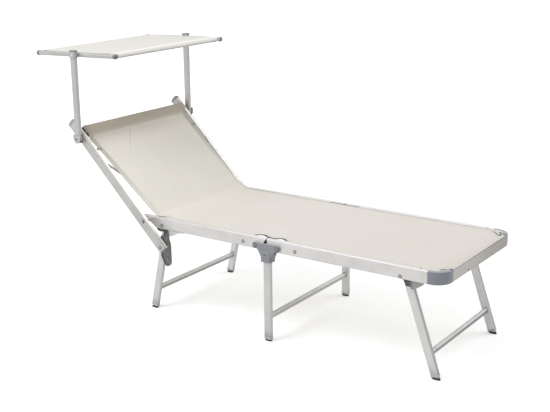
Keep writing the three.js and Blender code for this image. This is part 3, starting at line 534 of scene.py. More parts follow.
# Saddles: grey plastic with a dark ring round each hinge rivet, one small hole painted dark as painted shade,
# and top faces paler as a painted highlight
SADDLE_RING = 0.0075
SADDLE_RING_HALF = 0.0015
SADDLE_HOLE = (-0.0025, 0.3650)


def saddle_marks(tree, where):
    pins = [joints[name] for name in ("seat_section_fold", "foot_section_fold")]
    shares = [ring_share(tree, where, (pin.x, pin.z), SADDLE_RING, SADDLE_RING_HALF) for pin in pins]
    hole = off_axis(tree, where, from_legs(SADDLE_HOLE))
    shares.append(span(tree, hole, 0.0028, 0.0040, 0.9, 0.0))
    return [(share, DARK_STEEL) for share in shares]


put(plastic("saddle_plastic", GREY_PLASTIC, 0.5, top=0.5, marks=saddle_marks), *both("fold_saddle"))
# Corner pieces: grey-blue plastic, top faces paler as a painted highlight
corner_plastic = plastic("corner_plastic", CORNER_PLASTIC, 0.32, 0.12, top=0.7, top_colour=CORNER_TOP_HIGHLIGHT)
put(corner_plastic, *both("end_corner"))

# Post tops: grey clamp, darker along the upper rim of its outer faces
CLAMP_RIM = 0.004


def clamp_marks(tree, where):
    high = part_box("post_cap_right")[1].z
    rim = span(tree, part_of(tree, where, "Z"), high - 1.5 * CLAMP_RIM, high - CLAMP_RIM, 0.0, 0.85)
    outer = less(tree, 1.0, times(tree, facing_in(tree, where), 0.8))
    return [(times(tree, rim, outer), CAP_PLASTIC)]


put(plastic("clamp_plastic", CLAMP_PLASTIC, 0.5, marks=clamp_marks), *both("post_cap"))

# Notched brackets: a recess at each pad bolt painted dark as painted shade, with a light rim
BOLT_RECESS = (0.0026, 0.0034)
BOLT_RIM_RADIUS = 0.0046


def pad_bolt_marks(tree, where):
    layers = []
    for place in map(from_legs, PAD_BOLTS):
        recess = span(tree, off_axis(tree, where, place), *BOLT_RECESS, 0.9, 0.0)
        rim = times(tree, ring_share(tree, where, place, BOLT_RIM_RADIUS, 0.001), 0.8)
        layers += [(recess, DARK_STEEL), (rim, BOLT_RIM)]
    return layers


put(steel("notched_steel", STEEL, marks=pad_bolt_marks), *both("notched_bracket"))

# Leg brackets: near black as painted shadow, lighter towards the corner as painted light
LIGHTEN = (0.024, 0.046)


def corner_marks(tree, where):
    low, high = (from_legs(FOOT_LEG_BOLT)[0] + step for step in LIGHTEN)
    return [(span(tree, part_of(tree, where, "X"), low, high, 0.0, 0.9), BRACKET_LIT_GREY)]


put(steel("leg_bracket_steel", BRACKET_SHADOW_BLACK, marks=corner_marks), *both("leg_bracket"))


# Post mounts: dark pivot bolt, inner faces lighter as painted light, edges darker as painted shadow
def mount_marks(tree, where):
    bolt = span(tree, off_axis(tree, where, mount_ring[0]), 0.0035, 0.0055, 0.85, 0.0)
    return [(bolt, RIVET_DARK), (times(tree, facing_in(tree, where), 0.9), MOUNT_INNER_LIGHT)]


put(steel("mount_steel", MOUNT_STEEL, MOUNT_SCUFF, MOUNT_EDGE_SHADOW, mount_marks), *both("post_mount"))
dark_steel = steel("screw_steel", DARK_STEEL, SCREW_SCUFF)


# Shoes: light collar over a dark rubber tip
def shoe(name, tip, *stems):
    def tip_marks(tree, where):
        return [(span(tree, part_of(tree, where, "Z"), tip - 0.0005, tip + 0.0005, 1.0, 0.0), RUBBER_AND_SHADOW_BLACK)]

    put(plastic(name, SHOE_LIGHT, 0.6, marks=tip_marks), *both(*stems))


shoe("upright_shoe", 0.008, "middle_shoe")
shoe("leaning_shoe", 0.010, "head_shoe", "foot_shoe")


# Rows of stitches along each hem and a line at each seam
def stitch_share(tree, along, edge, hem, seams):
    off = distance(tree, edge, hem - STITCH_FROM_HEM)
    beat = calc(tree, "SINE", times(tree, along, 2 * pi / STITCH_PITCH))
    row = span(tree, off, STITCH_HALF, 2 * STITCH_HALF, 1.0, 0.0)
    share = times(tree, row, span(tree, beat, -0.6, -0.2))
    for place in seams:
        off = distance(tree, along, place)
        line = span(tree, off, 2 * STITCH_HALF, 3 * STITCH_HALF, 1.0, 0.0)
        share = calc(tree, "MAXIMUM", share, line)
    return share


# A straight crease between two places on the flat cloth, faded at both ends
def crease_share(tree, along, across, crease):
    (start_u, start_v), (end_u, end_v) = crease
    lean = (end_v - start_v) / (end_u - start_u)
    line = calc(tree, "MULTIPLY_ADD", less(tree, along, start_u), lean, start_v)
    share = span(tree, distance(tree, across, line), 0.001, 0.006, 1.0, 0.0)
    share = times(tree, share, span(tree, along, start_u, start_u + CREASE_FADE))
    return times(tree, share, span(tree, along, end_u - CREASE_FADE, end_u, 1.0, 0.0))


# Open mesh cloth: crossing yarns, hems of another tone, stitches and a painted shadow along the edge over the
# middle fold. Where asked, a painted tone over the shaded rows (painted shade on the back's sleeve and the
# foot's end, a painted highlight on the canopy's front sleeve), painted shade beneath, a crease darkened by
# painted shade, painted shade up the hems and along the very edge, and another tone at the sheet's start,
# painted light
def weave(
    name, base, dark, sleeve=None, hem=HEM, seams=(), crease=None, lead=None, lead_length=0.06, under=0.0,
    hem_share=(0.34, 0.34), hem_shade=None, edge_shade=0.0,
):
    made, tree, shader = begin(name, 0.62)
    where = node(tree, "ShaderNodeUVMap", uv_map="weave").outputs[0]
    along, across = (part_of(tree, where, axis) for axis in "XY")
    warp = calc(tree, "SINE", times(tree, along, 2 * pi / WARP))
    weft = calc(tree, "SINE", times(tree, across, 2 * pi / WEFT))
    yarns = calc(tree, "MULTIPLY_ADD", times(tree, warp, weft), 0.5, 0.5)
    clouds = noise(tree, where, 3.2, 3.0)
    slubs = noise(tree, stretched(tree, where, (14, 420, 1)), 1.0)
    labels = ("doubled", "edge", "bound", "shaded")
    doubled, edge, bound, shaded = (
        node(tree, "ShaderNodeAttribute", attribute_name=label).outputs["Fac"] for label in labels
    )
    if lead is not None:
        base = mixed(tree, span(tree, along, 0.0, lead_length), lead, base)
    layers = [
        (span(tree, yarns, 0.0, 0.6, 0.22, 0.0), dark),
        (span(tree, clouds, 0.3, 0.7, 0.0, 0.14), dark),
        (span(tree, slubs, 0.5, 0.8, 0.0, 0.12), dark),
        # Hems in another tone; a given hem colour paints shade that grows along the sheet
        (times(tree, doubled, span(tree, along, 0.05, 0.5, *hem_share)), hem_shade or dark),
        # A near-black band along the edge over the middle fold: painted shadow under the lifted edge
        (times(tree, bound, span(tree, edge, *EDGE_SHADOW_BAND, 1.0, 0.0)), RUBBER_AND_SHADOW_BLACK),
        # A darker line at the very edge of the sheet: painted shade
        (span(tree, edge, 0.001, 0.003, edge_shade, 0.0), scaled(dark, 0.5)),
    ]
    # A painted tone over the shaded rows: painted shade with a darker colour, a painted highlight with a
    # lighter one
    if sleeve is not None:
        layers.append((shaded, sleeve))
    # Downward faces of the shaded rows darker: painted shade
    if under:
        beneath = less(tree, 1.0, facing_up(tree, -0.6, 0.0))
        layers.append((times(tree, times(tree, shaded, beneath), under), scaled(dark, 0.55)))
    stitch = stitch_share(tree, along, edge, hem, seams)
    layers.append((times(tree, stitch, 0.7), scaled(dark, 0.7)))
    height = calc(tree, "ADD", yarns, times(tree, stitch, 1.5))
    # A crease: a bump, darkened along it as painted shade
    if crease is not None:
        share = crease_share(tree, along, across, crease)
        layers.append((times(tree, share, 0.35), scaled(dark, 0.8)))
        height = less(tree, height, times(tree, share, 2.0))
    paint(tree, shader, layered(tree, base, layers))
    relief(tree, shader, height, 0.35, 0.0003)
    shader.inputs["Sheen Weight"].default_value = 0.08
    return made


def smooth(value):
    value = np.clip(value, 0, 1)
    return value * value * (3 - 2 * value)


# Points across a sheet, close together at the hems
def across_points(half, hem):
    steps = [0.0, 0.0006, 0.002, hem / 2, hem - HEM_STEP, hem + HEM_STEP]
    inner = np.linspace(-1, 1, CROSS_STEPS) * (half - hem - HEM_CLEAR)
    outer = np.array([half - step for step in steps])
    return np.concatenate([-outer, inner, outer[::-1]])


def link_mesh(name, verts, faces, material):
    mesh = bpy.data.meshes.new(name)
    mesh.from_pydata([tuple(v) for v in verts], [], faces)
    mesh.polygons.foreach_set("use_smooth", [True] * len(mesh.polygons))
    mesh.set_sharp_from_angle(angle=radians(SHARP_DEGREES))
    mesh.materials.append(material)
    return linked(name, mesh)


# Length run from the line's start to each of its points
def run_lengths(line):
    return np.concatenate([[0], np.cumsum(np.linalg.norm(np.diff(line, axis=0), axis=1))])


# A closed sheet of cloth from one line of points in the XZ plane and a half width at each point
def sheet_mesh(name, line, halves, material, hem=HEM, lift=None, shade=None, bound=None):
    line = np.array(line, float)
    halves = np.array(halves, float)
    count = len(line)
    tangent = np.gradient(line, axis=0)
    tangent /= np.linalg.norm(tangent, axis=1)[:, None]
    along = run_lengths(line)
    width = np.array([across_points(half, hem) for half in halves])
    columns = width.shape[1]
    points = np.zeros((count, columns, 3))
    points[:, :, 0] = line[:, None, 0]
    points[:, :, 1] = width
    points[:, :, 2] = line[:, None, 1]
    reach = halves[:, None] - np.abs(width)
    if lift is not None:
        points = lift(points, along, reach, tangent)
    normal = np.cross(np.gradient(points, axis=0), np.gradient(points, axis=1))
    normal /= np.linalg.norm(normal, axis=2)[:, :, None]
    doubled = np.clip((hem + HEM_STEP - reach) / (2 * HEM_STEP), 0, 1)
    thick = (CLOTH + HEM_EXTRA * doubled) * np.clip(0.55 + reach / 0.004, 0.55, 1)
    half_thick = normal * thick[:, :, None] / 2
    verts = np.concatenate([(points + half_thick).reshape(-1, 3), (points - half_thick).reshape(-1, 3)])
    base = count * columns
    faces = []
    for i in range(count - 1):
        for j in range(columns - 1):
            a, b = i * columns + j, (i + 1) * columns + j
            faces.append((a, b, b + 1, a + 1))
            faces.append((base + a + 1, base + b + 1, base + b, base + a))
        a, b = i * columns, (i + 1) * columns
        faces.append((a, a + base, b + base, b))
        a, b = a + columns - 1, b + columns - 1
        faces.append((b, b + base, a + base, a))
    for j in range(columns - 1):
        faces.append((j + 1, j + 1 + base, j + base, j))
        a = (count - 1) * columns + j
        faces.append((a, a + base, a + 1 + base, a + 1))
    made = link_mesh(name, verts.tolist(), faces, material)
    mesh = made.data
    shading = shade(along) if shade else np.zeros(count)
    shadow_rows = bound(line[:, 0]) if bound else np.zeros(count)
    rows = {"shaded": shading, "bound": shadow_rows}
    fields = {label: np.repeat(values[:, None], columns, axis=1) for label, values in rows.items()}
    for label, values in {"doubled": doubled, "edge": reach, **fields}.items():
        attribute = mesh.attributes.new(label, "FLOAT", "POINT")
        attribute.data.foreach_set("value", np.tile(values.ravel(), 2).astype(np.float32))
    flat = np.tile(np.stack([np.repeat(along, columns), width.ravel()], axis=1), (2, 1))
    layer = mesh.uv_layers.new(name="weave")
    corners = np.zeros(len(mesh.loops), np.int32)
    mesh.loops.foreach_get("vertex_index", corners)
    layer.data.foreach_set("uv", flat[corners].ravel().astype(np.float32))
    area = float(((halves[1:] + halves[:-1]) * np.diff(along)).sum())
    return made, along[-1], 2 * halves.max(), area


def add_sheet(name, replaced, slot, rests_on, line, halves, material, **options):
    made, length, width, area = sheet_mesh(name, line, halves, material, **options)
    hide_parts(replaced)
    return made


# Seat and foot cloth: taut between the rails, drawn in over the fold and lifted over the head bar
SAG = 0.004
SAG_END = 0.54
SAG_FADE = 0.12
FOLD_LIFT = 0.0062
FOLD_DRAW = 0.0145
FOLD_SCALLOPS = ((-0.038, 0.060), (0.052, 0.052))
FOLD_MIDDLE = 0.45
MIDDLE_FADE = 0.05
FOLD_EDGE_REACH = 0.07
FOLD_OPEN_REACH = 0.085
EDGE_SHADOW_FADE = 0.01
HEAD_FROM = -0.38
HEAD_RISE = 0.0113
HEAD_CURVE = 2.2
HEAD_EDGE_REACH = 0.06
LEAVE_X = -0.505
FOLD_LINE = (-0.558, 0.4338)
FOLD_LINE_HALF = 0.305


# How far the cloth's edge is drawn off the rails: two shallow scallops, one each side of the fold
def fold_open(x):
    scallops = np.zeros(np.shape(x))
    for centre, half in FOLD_SCALLOPS:
        scallops = np.maximum(scallops, smooth(1 - np.abs(x - centre) / half))
    return np.maximum(scallops, FOLD_MIDDLE * smooth((FOLD_OPEN_REACH - np.abs(x)) / MIDDLE_FADE))


# Share of the painted shadow along the cloth's edge, near the middle fold
def fold_bound(x):
    return smooth((FOLD_OPEN_REACH - np.abs(x - fold_x)) / EDGE_SHADOW_FADE)


def fold_lift(points, along, reach, tangent):
    x = points[:, :, 0] - fold_x
    y = points[:, :, 1]
    risen = points[:, :, 2] - fabric_z
    share = np.clip((HEAD_FROM - x) / (HEAD_FROM - FOLD_LINE[0]), 0, 1)
    gentle = HEAD_RISE * share ** HEAD_CURVE * smooth(reach / HEAD_EDGE_REACH)
    points[:, :, 2] += np.maximum(0, gentle - risen)
    open_share = fold_open(x) * smooth(1 - reach / FOLD_EDGE_REACH)
    across = np.clip(1 - (y / groove_half) ** 2, 0, 1)
    lengthwise = smooth(np.abs(x) / SAG_FADE) * smooth((SAG_END - np.abs(x)) / SAG_FADE)
    points[:, :, 2] += FOLD_LIFT * open_share - SAG * across * lengthwise
    points[:, :, 1] -= np.sign(y) * FOLD_DRAW * open_share
    return points


seat_line = [(fold_x - step, fabric_z) for step in np.linspace(0, -LEAVE_X, 52)]
seat_halves = [groove_half] * len(seat_line)
rise = [
    (-0.5075, fabric_z + 0.0002, 0.2864), (-0.514, 0.4250, 0.2860), (-0.521, 0.4280, 0.2860),
    (-0.528, 0.4304, 0.2880), (-0.536, 0.4314, 0.2950), (-0.545, 0.4320, 0.3010), (-0.552, 0.4327, 0.3040),
]
for x, z, half in (*rise, (*FOLD_LINE, FOLD_LINE_HALF)):
    seat_line.append((fold_x + x, z))
    seat_halves.append(half)
# Near the head fold the seat cloth blends into a lighter tone: painted light
seat_weave = weave("seat_weave", CREAM, CREAM_DARK, lead=FOLD_CREAM, lead_length=0.18)
foot_weave = weave("foot_weave", CREAM, CREAM_DARK, SLEEVE_SHADE)
seat_cloth = add_sheet(
    "seat_cloth", "seat_fabric", "seat_cloth", both("seat_rail") + ["seat_head_bar"],
    seat_line[::-1], seat_halves[::-1], seat_weave, lift=fold_lift, bound=fold_bound,
)


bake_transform(seat_cloth)

# The foot cloth's corners are cut off along the corner covers
CORNER_INSET = 0.012
RAIL_LIP = 0.0047
CLOTH_GAP = 0.0004
COVER_GAP = 0.0006
END_SHADE = 0.09
rail_inner = groove_half - RAIL_LIP
cut_half = end_rail_high.y
cut_start = rail_inner - CORNER_INSET
cut_end = end_rail_low.x - CORNER_INSET
foot_line = [(x, fabric_z) for x in np.linspace(fold_x, rail_end - COVER_GAP, 68)]
foot_halves = [groove_half] * len(foot_line)
for share in np.linspace(0.0, 1.0, 12):
    foot_line.append((rail_end + share * (cut_end - rail_end), fabric_z))
    foot_halves.append(cut_start + share * (cut_half - CLOTH_GAP - cut_start))
foot_line.append((fabric_high.x, fabric_z))
foot_halves.append(cut_half - CLOTH_GAP)
foot_length = foot_line[-1][0] - foot_line[0][0]


# Painted shade: darker towards the end rail
def foot_shade(along):
    return 0.04 * smooth(along / 0.6) + 0.10 * smooth((along - foot_length + END_SHADE) / END_SHADE)


foot_cloth = add_sheet(
    "foot_cloth", "foot_fabric", "seat_cloth", both("foot_rail") + ["end_rail"],
    foot_line, foot_halves, foot_weave, lift=fold_lift, bound=fold_bound, shade=foot_shade,
)
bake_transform(foot_cloth)

# Back cloth: from under the seat cloth's end, in one soft bend over the head bar, up to the top bar's sleeve.
# Places along and off the back tubes
BACK_LINE = [(0.11, 0.0335), (0.2, 0.027), (0.3, 0.0205), (0.4, 0.0145), (0.442, 0.012)]
BACK_STEP = 0.009
BEND_HANDLE = 0.030
BEND_POINTS = 24
BEND_START = 10
BEND_END = 40.5
TUCK = (0.006, 0.0012)
BACK_LOWER = 0.305
BACK_UPPER = 0.325
WIDEN_FROM = 0.04
BACK_SAG = 0.006
BACK_SAG_END = 0.46
BACK_SAG_FADE = 0.10
BACK_DRAW = 0.003
SLEEVE_FRONT = [(0.449, 0.0165), (0.456, 0.0218), (0.464, 0.026)]
SLEEVE_RETURN = (0.455, 0.0094)
TOP_BAR = (0.486, 0.018)
TOP_BAR_LONG = 0.032
TOP_BAR_THICK = 0.020
SLEEVE_GAP = 0.0016
SLEEVE_ROUND = 0.005
SHADE_FROM = 0.4545
SLEEVE_FADE = 0.09


def resample(line, step):
    line = np.array(line, float)
    lengths = run_lengths(line)
    spots = np.linspace(0, lengths[-1], max(2, int(round(lengths[-1] / step)) + 1))
    return [tuple(np.interp(spot, lengths, line[:, k]) for k in (0, 1)) for spot in spots]


def bend(start, end):
    first, last = radians(180 - BEND_START), radians(180 - BEND_END)
    start, end = np.array(start), np.array(end)
    near = start + BEND_HANDLE * np.array([cos(first), sin(first)])
    far = end - BEND_HANDLE * np.array([cos(last), sin(last)])
    line = []
    for t in np.linspace(0, 1, BEND_POINTS):
        outer = (1 - t) ** 3 * start + 3 * t * (1 - t) ** 2 * near
        line.append(outer + 3 * t * t * (1 - t) * far + t ** 3 * end)
    return line


def back_section():
    lower = bend((fold_x + FOLD_LINE[0] + TUCK[0], FOLD_LINE[1] - TUCK[1]), back_place(*BACK_LINE[0]))
    rows = resample([*lower, *(back_place(s, n) for s, n in BACK_LINE[1:])], BACK_STEP)
    half_s = TOP_BAR_LONG / 2 + SLEEVE_GAP
    half_n = TOP_BAR_THICK / 2 + SLEEVE_GAP
    flat_s = half_s - SLEEVE_ROUND
    flat_n = half_n - SLEEVE_ROUND
    s, n = TOP_BAR
    sleeve = [*SLEEVE_FRONT, (s - flat_s, n + half_n), (s, n + half_n)]
    for centre_n, start in ((n + flat_n, 90), (n - flat_n, 0)):
        for step in range(0, 91, 30):
            turn = radians(start - step)
            sleeve.append((s + flat_s + SLEEVE_ROUND * cos(turn), centre_n + SLEEVE_ROUND * sin(turn)))
    sleeve += [(s, n - half_n), (s - flat_s, n - half_n), SLEEVE_RETURN]
    return rows + [back_place(*spot) for spot in sleeve]


def place_s(x, z):
    return ((z - BACK_ORIGIN[1]) - (x - fold_x - BACK_ORIGIN[0])) * cos(BACK_TURN)


back_line = back_section()
widen_over = BACK_LINE[-1][0] - WIDEN_FROM
back_shares = [min(1, max(0, (place_s(x, z) - WIDEN_FROM) / widen_over)) for x, z in back_line]
back_halves = [BACK_LOWER + (BACK_UPPER - BACK_LOWER) * share for share in back_shares]
back_along = run_lengths(np.array(back_line))
front_rows = [k for k, spot in enumerate(back_line[:-4]) if place_s(*spot) < TOP_BAR[0]]
front_places = [place_s(*back_line[k]) for k in front_rows]
shade_start = float(np.interp(SHADE_FROM, front_places, [back_along[k] for k in front_rows]))


def back_lift(points, along, reach, tangent):
    share = smooth(along / BACK_SAG_FADE) * smooth((BACK_SAG_END - along) / BACK_SAG_FADE)
    across = np.clip(1 - (points[:, :, 1] / BACK_UPPER) ** 2, 0, 1)
    inward = np.stack([tangent[:, 1], np.zeros(len(tangent)), -tangent[:, 0]], axis=1)
    points = points + (BACK_SAG * share[:, None] * across)[:, :, None] * inward[:, None, :]
    points[:, :, 1] -= np.sign(points[:, :, 1]) * BACK_DRAW * share[:, None] * (1 - across)
    return points


# Painted shade: the sleeve is darker, and the cloth below it darkens towards it
def back_shade(along):
    band = 0.85 * smooth((along - shade_start + 0.003) / 0.009)
    return band + 0.30 * smooth((along - shade_start + SLEEVE_FADE) / SLEEVE_FADE) * (1 - band)


crease = ((shade_start - 0.120, -0.165), (shade_start, -0.060))
back_weave = weave(
    "back_weave", LIT_BACK_CREAM, BACK_DARK, SLEEVE_SHADE, seams=[shade_start], crease=crease, lead=FOLD_CREAM,
    hem_share=(0.15, 0.95), hem_shade=BACK_HEM_SHADE, edge_shade=0.6,
)
back_cloth = add_sheet(
    "back_cloth", "back_fabric", "seat_cloth", ["back_top_bar", "seat_head_bar"],
    back_line, back_halves, back_weave, lift=back_lift, shade=back_shade,
)
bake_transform(back_cloth)

# Canopy cloth: sleeves round the front and rear bars, nearly flat between them
CANOPY_SAG = 0.004
CANOPY_SEAM = 0.024
CANOPY_WRAP = 250
CANOPY_STEPS = 40
WRAP_STEPS = 16
SLEEVE_CLEAR = 0.0013
front_low, front_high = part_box("canopy_front_bar")
rear_low, rear_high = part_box("canopy_rear_bar")
front_bar = ((front_low.x + front_high.x) / 2, (front_low.z + front_high.z) / 2)
rear_bar = ((rear_low.x + rear_high.x) / 2, (rear_low.z + rear_high.z) / 2)
canopy_band = (front_high.z - front_low.z) / 2 + SLEEVE_CLEAR


def wrap(centre, start, turn):
    angles = [radians(start + turn * step / WRAP_STEPS) for step in range(WRAP_STEPS + 1)]
    return [(centre[0] + canopy_band * cos(a), centre[1] + canopy_band * sin(a)) for a in angles]


def canopy_section():
    rows = wrap(front_bar, 90 - CANOPY_WRAP, CANOPY_WRAP)
    for step in range(1, CANOPY_STEPS):
        share = step / CANOPY_STEPS
        x = front_bar[0] + (rear_bar[0] - front_bar[0]) * share
        z = front_bar[1] + (rear_bar[1] - front_bar[1]) * share + canopy_band
        rows.append((x, z - CANOPY_SAG * sin(pi * share)))
    return rows + wrap(rear_bar, 90, CANOPY_WRAP)


# The front sleeve: lighter as a painted highlight, and darker underneath as painted shade
def canopy_light_and_shade(along):
    return 0.8 * smooth((canopy_seam - along) / 0.002)


canopy_line = canopy_section()
canopy_halves = [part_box("canopy_cloth")[1].y] * len(canopy_line)
canopy_seam = canopy_band * radians(CANOPY_WRAP) + CANOPY_SEAM
canopy_weave = weave(
    "canopy_weave", CANOPY_CREAM, CANOPY_DARK, CANOPY_SLEEVE_HIGHLIGHT, CANOPY_HEM, seams=[canopy_seam], under=0.9
)
canopy_cloth = add_sheet(
    "canopy_sheet", "canopy_cloth", "canopy_cloth", ["canopy_front_bar", "canopy_rear_bar"],
    canopy_line, canopy_halves, canopy_weave, hem=CANOPY_HEM, shade=canopy_light_and_shade,
)
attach(canopy_cloth, "canopy")


# Faces between rings of points, with both ends closed
def ring_faces(rings, steps):
    faces = []
    for ring in range(rings - 1):
        for k in range(steps):
            a, b = ring * steps + k, ring * steps + (k + 1) % steps
            faces.append((a, b, b + steps, a + steps))
    faces.append(tuple(range(steps - 1, -1, -1)))
    faces.append(tuple(range((rings - 1) * steps, rings * steps)))
    return faces


def settle(made, body, replaced=None):
    if replaced:
        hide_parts(replaced)
    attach(made, body)


# Straps from the back tubes to the back cloth, with rounded edges
STRAP_EDGE = ((-1, -0.6), (-0.92, -1), (0.92, -1), (1, -0.6), (1, 0.6), (0.92, 1), (-0.92, 1), (-1, 0.6))


def strap_mesh(name, path, wide, thick, material, across):
    verts = []
    for index, point in enumerate(path):
        before, after = path[max(index - 1, 0)], path[min(index + 1, len(path) - 1)]
        along = (after - before).normalized()
        side = (across - along * across.dot(along)).normalized()
        out = along.cross(side).normalized()
        for u, v in STRAP_EDGE:
            verts.append(point + side * (u * wide / 2) + out * (v * thick / 2))
    return link_mesh(name, verts, ring_faces(len(path), len(STRAP_EDGE)), material)


def webbing(name, base):
    made, tree, shader = begin(name, 0.8)
    where = object_place(tree)
    ribs = node(tree, "ShaderNodeTexWave", {"Vector": where, "Scale": 260.0, "Distortion": 1.5}).outputs[1]
    fuzz = noise(tree, where, 700.0, 3.0)
    colour = mixed(tree, ribs, base, scaled(base, 1.6))
    paint(tree, shader, mixed(tree, times(tree, fuzz, 0.4), colour, scaled(base, 0.6)))
    relief(tree, shader, calc(tree, "ADD", ribs, fuzz), 0.5, 0.0004)
    return made


# Routes: along the back tube, off it and off the middle line
STRAP_WIDE = 0.013
STRAP_THICK = 0.0018
UPPER_STRAP = [(0.3815, 0.0176, 0.3304), (0.381, 0.0178, 0.318), (0.3806, 0.0182, 0.307)]
LOWER_STRAP = [(0.301, 0.0187, 0.336), (0.285, 0.0193, 0.327), (0.262, 0.0204, 0.315), (0.240, 0.0214, 0.303)]
strap_web = webbing("strap_webbing", STRAP_DARK)
along_back = Vector((-cos(BACK_TURN), 0, sin(BACK_TURN)))


def back_point(s, n, y):
    x, z = back_place(s, n)
    return Vector((x, y, z))


for side, sign in SIDES:
    for label, route in (("upper", UPPER_STRAP), ("lower", LOWER_STRAP)):
        route = [back_point(s, n, sign * y) for s, n, y in route]
        strap = strap_mesh(f"{label}_web_{side}", route, STRAP_WIDE, STRAP_THICK, strap_web, along_back)
        settle(strap, "back_frame", f"{label}_strap_{side}")


# Turned pieces: rings of points round an axis, closed at both ends
def turned_mesh(name, start, axis, profile, material, steps=24):
    axis = axis.normalized()
    side = axis.orthogonal().normalized()
    other = axis.cross(side)
    verts = []
    for radius, height in profile:
        for k in range(steps):
            a = 2 * pi * k / steps
            verts.append(start + axis * height + (side * cos(a) + other * sin(a)) * radius)
    return link_mesh(name, verts, ring_faces(len(profile), steps), material)


# Canopy tube caps: a collar over the tube end and a rounded nose, top faces paler as a painted highlight and
# the inner side paler as painted light
CAP_RADIUS = 0.0113
CAP_COLLAR = 0.006
CAP_NOSE = 0.0044
CAP_PROFILE = [
    (CAP_RADIUS - 0.0006, -CAP_COLLAR - 0.005), (CAP_RADIUS, -CAP_COLLAR - 0.0044),
    (CAP_RADIUS, CAP_NOSE - 0.005), (CAP_RADIUS - 0.0012, CAP_NOSE - 0.0024),
    (CAP_RADIUS - 0.0040, CAP_NOSE - 0.0006), (0.0015, CAP_NOSE),
]


def cap_marks(tree, where):
    return [(times(tree, facing_in(tree, where), 0.8), CAP_INNER_LIGHT)]


cap_plastic = plastic("cap_plastic", CAP_PLASTIC, 0.5, top=0.6, top_colour=CAP_TOP_HIGHLIGHT, marks=cap_marks)
for side, sign in SIDES:
    ends = {}
    for end in ("front", "rear"):
        low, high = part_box(f"canopy_{end}_cap_{side}")
        ends[end] = (low + high) / 2
    run = (ends["front"] - ends["rear"]).normalized()
    for end, outward in (("front", run), ("rear", -run)):
        cap = turned_mesh(f"tube_plug_{end}_{side}", ends[end], outward, CAP_PROFILE, cap_plastic)
        settle(cap, "canopy", f"canopy_{end}_cap_{side}")

# Back tube caps: a short skirt and a rounded dome on the tube's own section, dark towards the tip
DOME_BASE = 0.5393
DOME_SKIRT = 0.006
DOME_RISE = 0.010
DOME_HALF = (0.0108, 0.0208)
DOME_ROUND = 0.005
DOME_STEPS = 8
DOME_DARK_FROM = 0.55


def rounded_loop(half_u, half_v, radius, steps=5):
    radius = min(radius, half_u * 0.95, half_v * 0.95)
    spots = []
    for side_u, side_v, start in ((1, 1, 0), (-1, 1, 90), (-1, -1, 180), (1, -1, 270)):
        for step in range(steps):
            a = radians(start + 90 * step / (steps - 1))
            u = side_u * (half_u - radius) + radius * cos(a)
            spots.append((u, side_v * (half_v - radius) + radius * sin(a)))
    return spots


def dome_marks(tree, where):
    lengthwise = part_of(tree, turned_place(tree, where, BACK_TURN), "Z")
    tip_x, tip_z = back_place(DOME_BASE + DOME_SKIRT + DOME_DARK_FROM * DOME_RISE, 0)
    tip = (tip_z - tip_x) * cos(BACK_TURN)
    return [(span(tree, lengthwise, tip - 0.0015, tip + 0.0015, 0.0, 0.95), DARK_STEEL)]


tube_cap = plastic("tube_cap_plastic", TUBE_CAP_PLASTIC, 0.45, marks=dome_marks)
levels = [(DOME_BASE, 1.0), (DOME_BASE + DOME_SKIRT, 1.0)]
for step in range(1, DOME_STEPS + 1):
    turn = radians(90 * step / (DOME_STEPS + 0.6))
    levels.append((DOME_BASE + DOME_SKIRT + DOME_RISE * sin(turn), cos(turn) ** 0.8))
for side, sign in SIDES:
    low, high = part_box(f"back_tube_cap_{side}")
    middle = (low.y + high.y) / 2
    verts = []
    for s, share in levels:
        loop = rounded_loop(DOME_HALF[0] * share, DOME_HALF[1] * (0.35 + 0.65 * share), DOME_ROUND)
        verts += [back_point(s, v, middle + u) for u, v in loop]
    cap = link_mesh(f"tube_dome_{side}", verts, ring_faces(len(levels), len(loop)), tube_cap)
    settle(cap, "back_frame", f"back_tube_cap_{side}")


# Small fasteners: a domed head with a recess
def screw(name, place, axis, radius, body, material):
    profile = [(radius, -0.0003), (radius, 0.0003), (0.86 * radius, 0.0009), (0.60 * radius, 0.0012)]
    profile += [(0.42 * radius, 0.0012), (0.38 * radius, 0.0003), (0.10 * radius, 0.0002)]
    settle(turned_mesh(name, place, axis, profile, material, 16), body)


bright_metal = aluminium("rivet_aluminium", "y", SCREW_ALUMINIUM)
post_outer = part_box("post_cap_left")[1].y
canopy_pivot = joints["canopy_tilt"]
CORNER_SCREW = (0.7525, 0.2415)
CLOTH_STUD = (0.660, 0.2910)
END_SCREW_Z = 0.388
END_SCREW_Y = 0.108
CLAMP_RIVET_RADIUS = 0.0042
CORNER_SCREW_RADIUS = 0.0052
CLOTH_STUD_RADIUS = 0.0026
END_SCREW_RADIUS = 0.0028
for side, sign in SIDES:
    out, up, ahead = Vector((0, sign, 0)), Vector((0, 0, 1)), Vector((1, 0, 0))
    rivet = Vector((canopy_pivot.x, sign * post_outer, canopy_pivot.z))
    screw(f"clamp_rivet_{side}", rivet, out, CLAMP_RIVET_RADIUS, "canopy_posts", bright_metal)
    end_place = Vector((end_rail_high.x, sign * END_SCREW_Y, END_SCREW_Z))
    top_places = [Vector((fold_x + x, sign * y, rail_top)) for x, y in (CORNER_SCREW, CLOTH_STUD)]
    for label, place, axis, radius in (
        ("corner_screw", top_places[0], up, CORNER_SCREW_RADIUS),
        ("cloth_stud", top_places[1], up, CLOTH_STUD_RADIUS),
        ("end_screw", end_place, ahead, END_SCREW_RADIUS),
    ):
        screw(f"{label}_{side}", place, axis, radius, "foot_section", dark_steel)

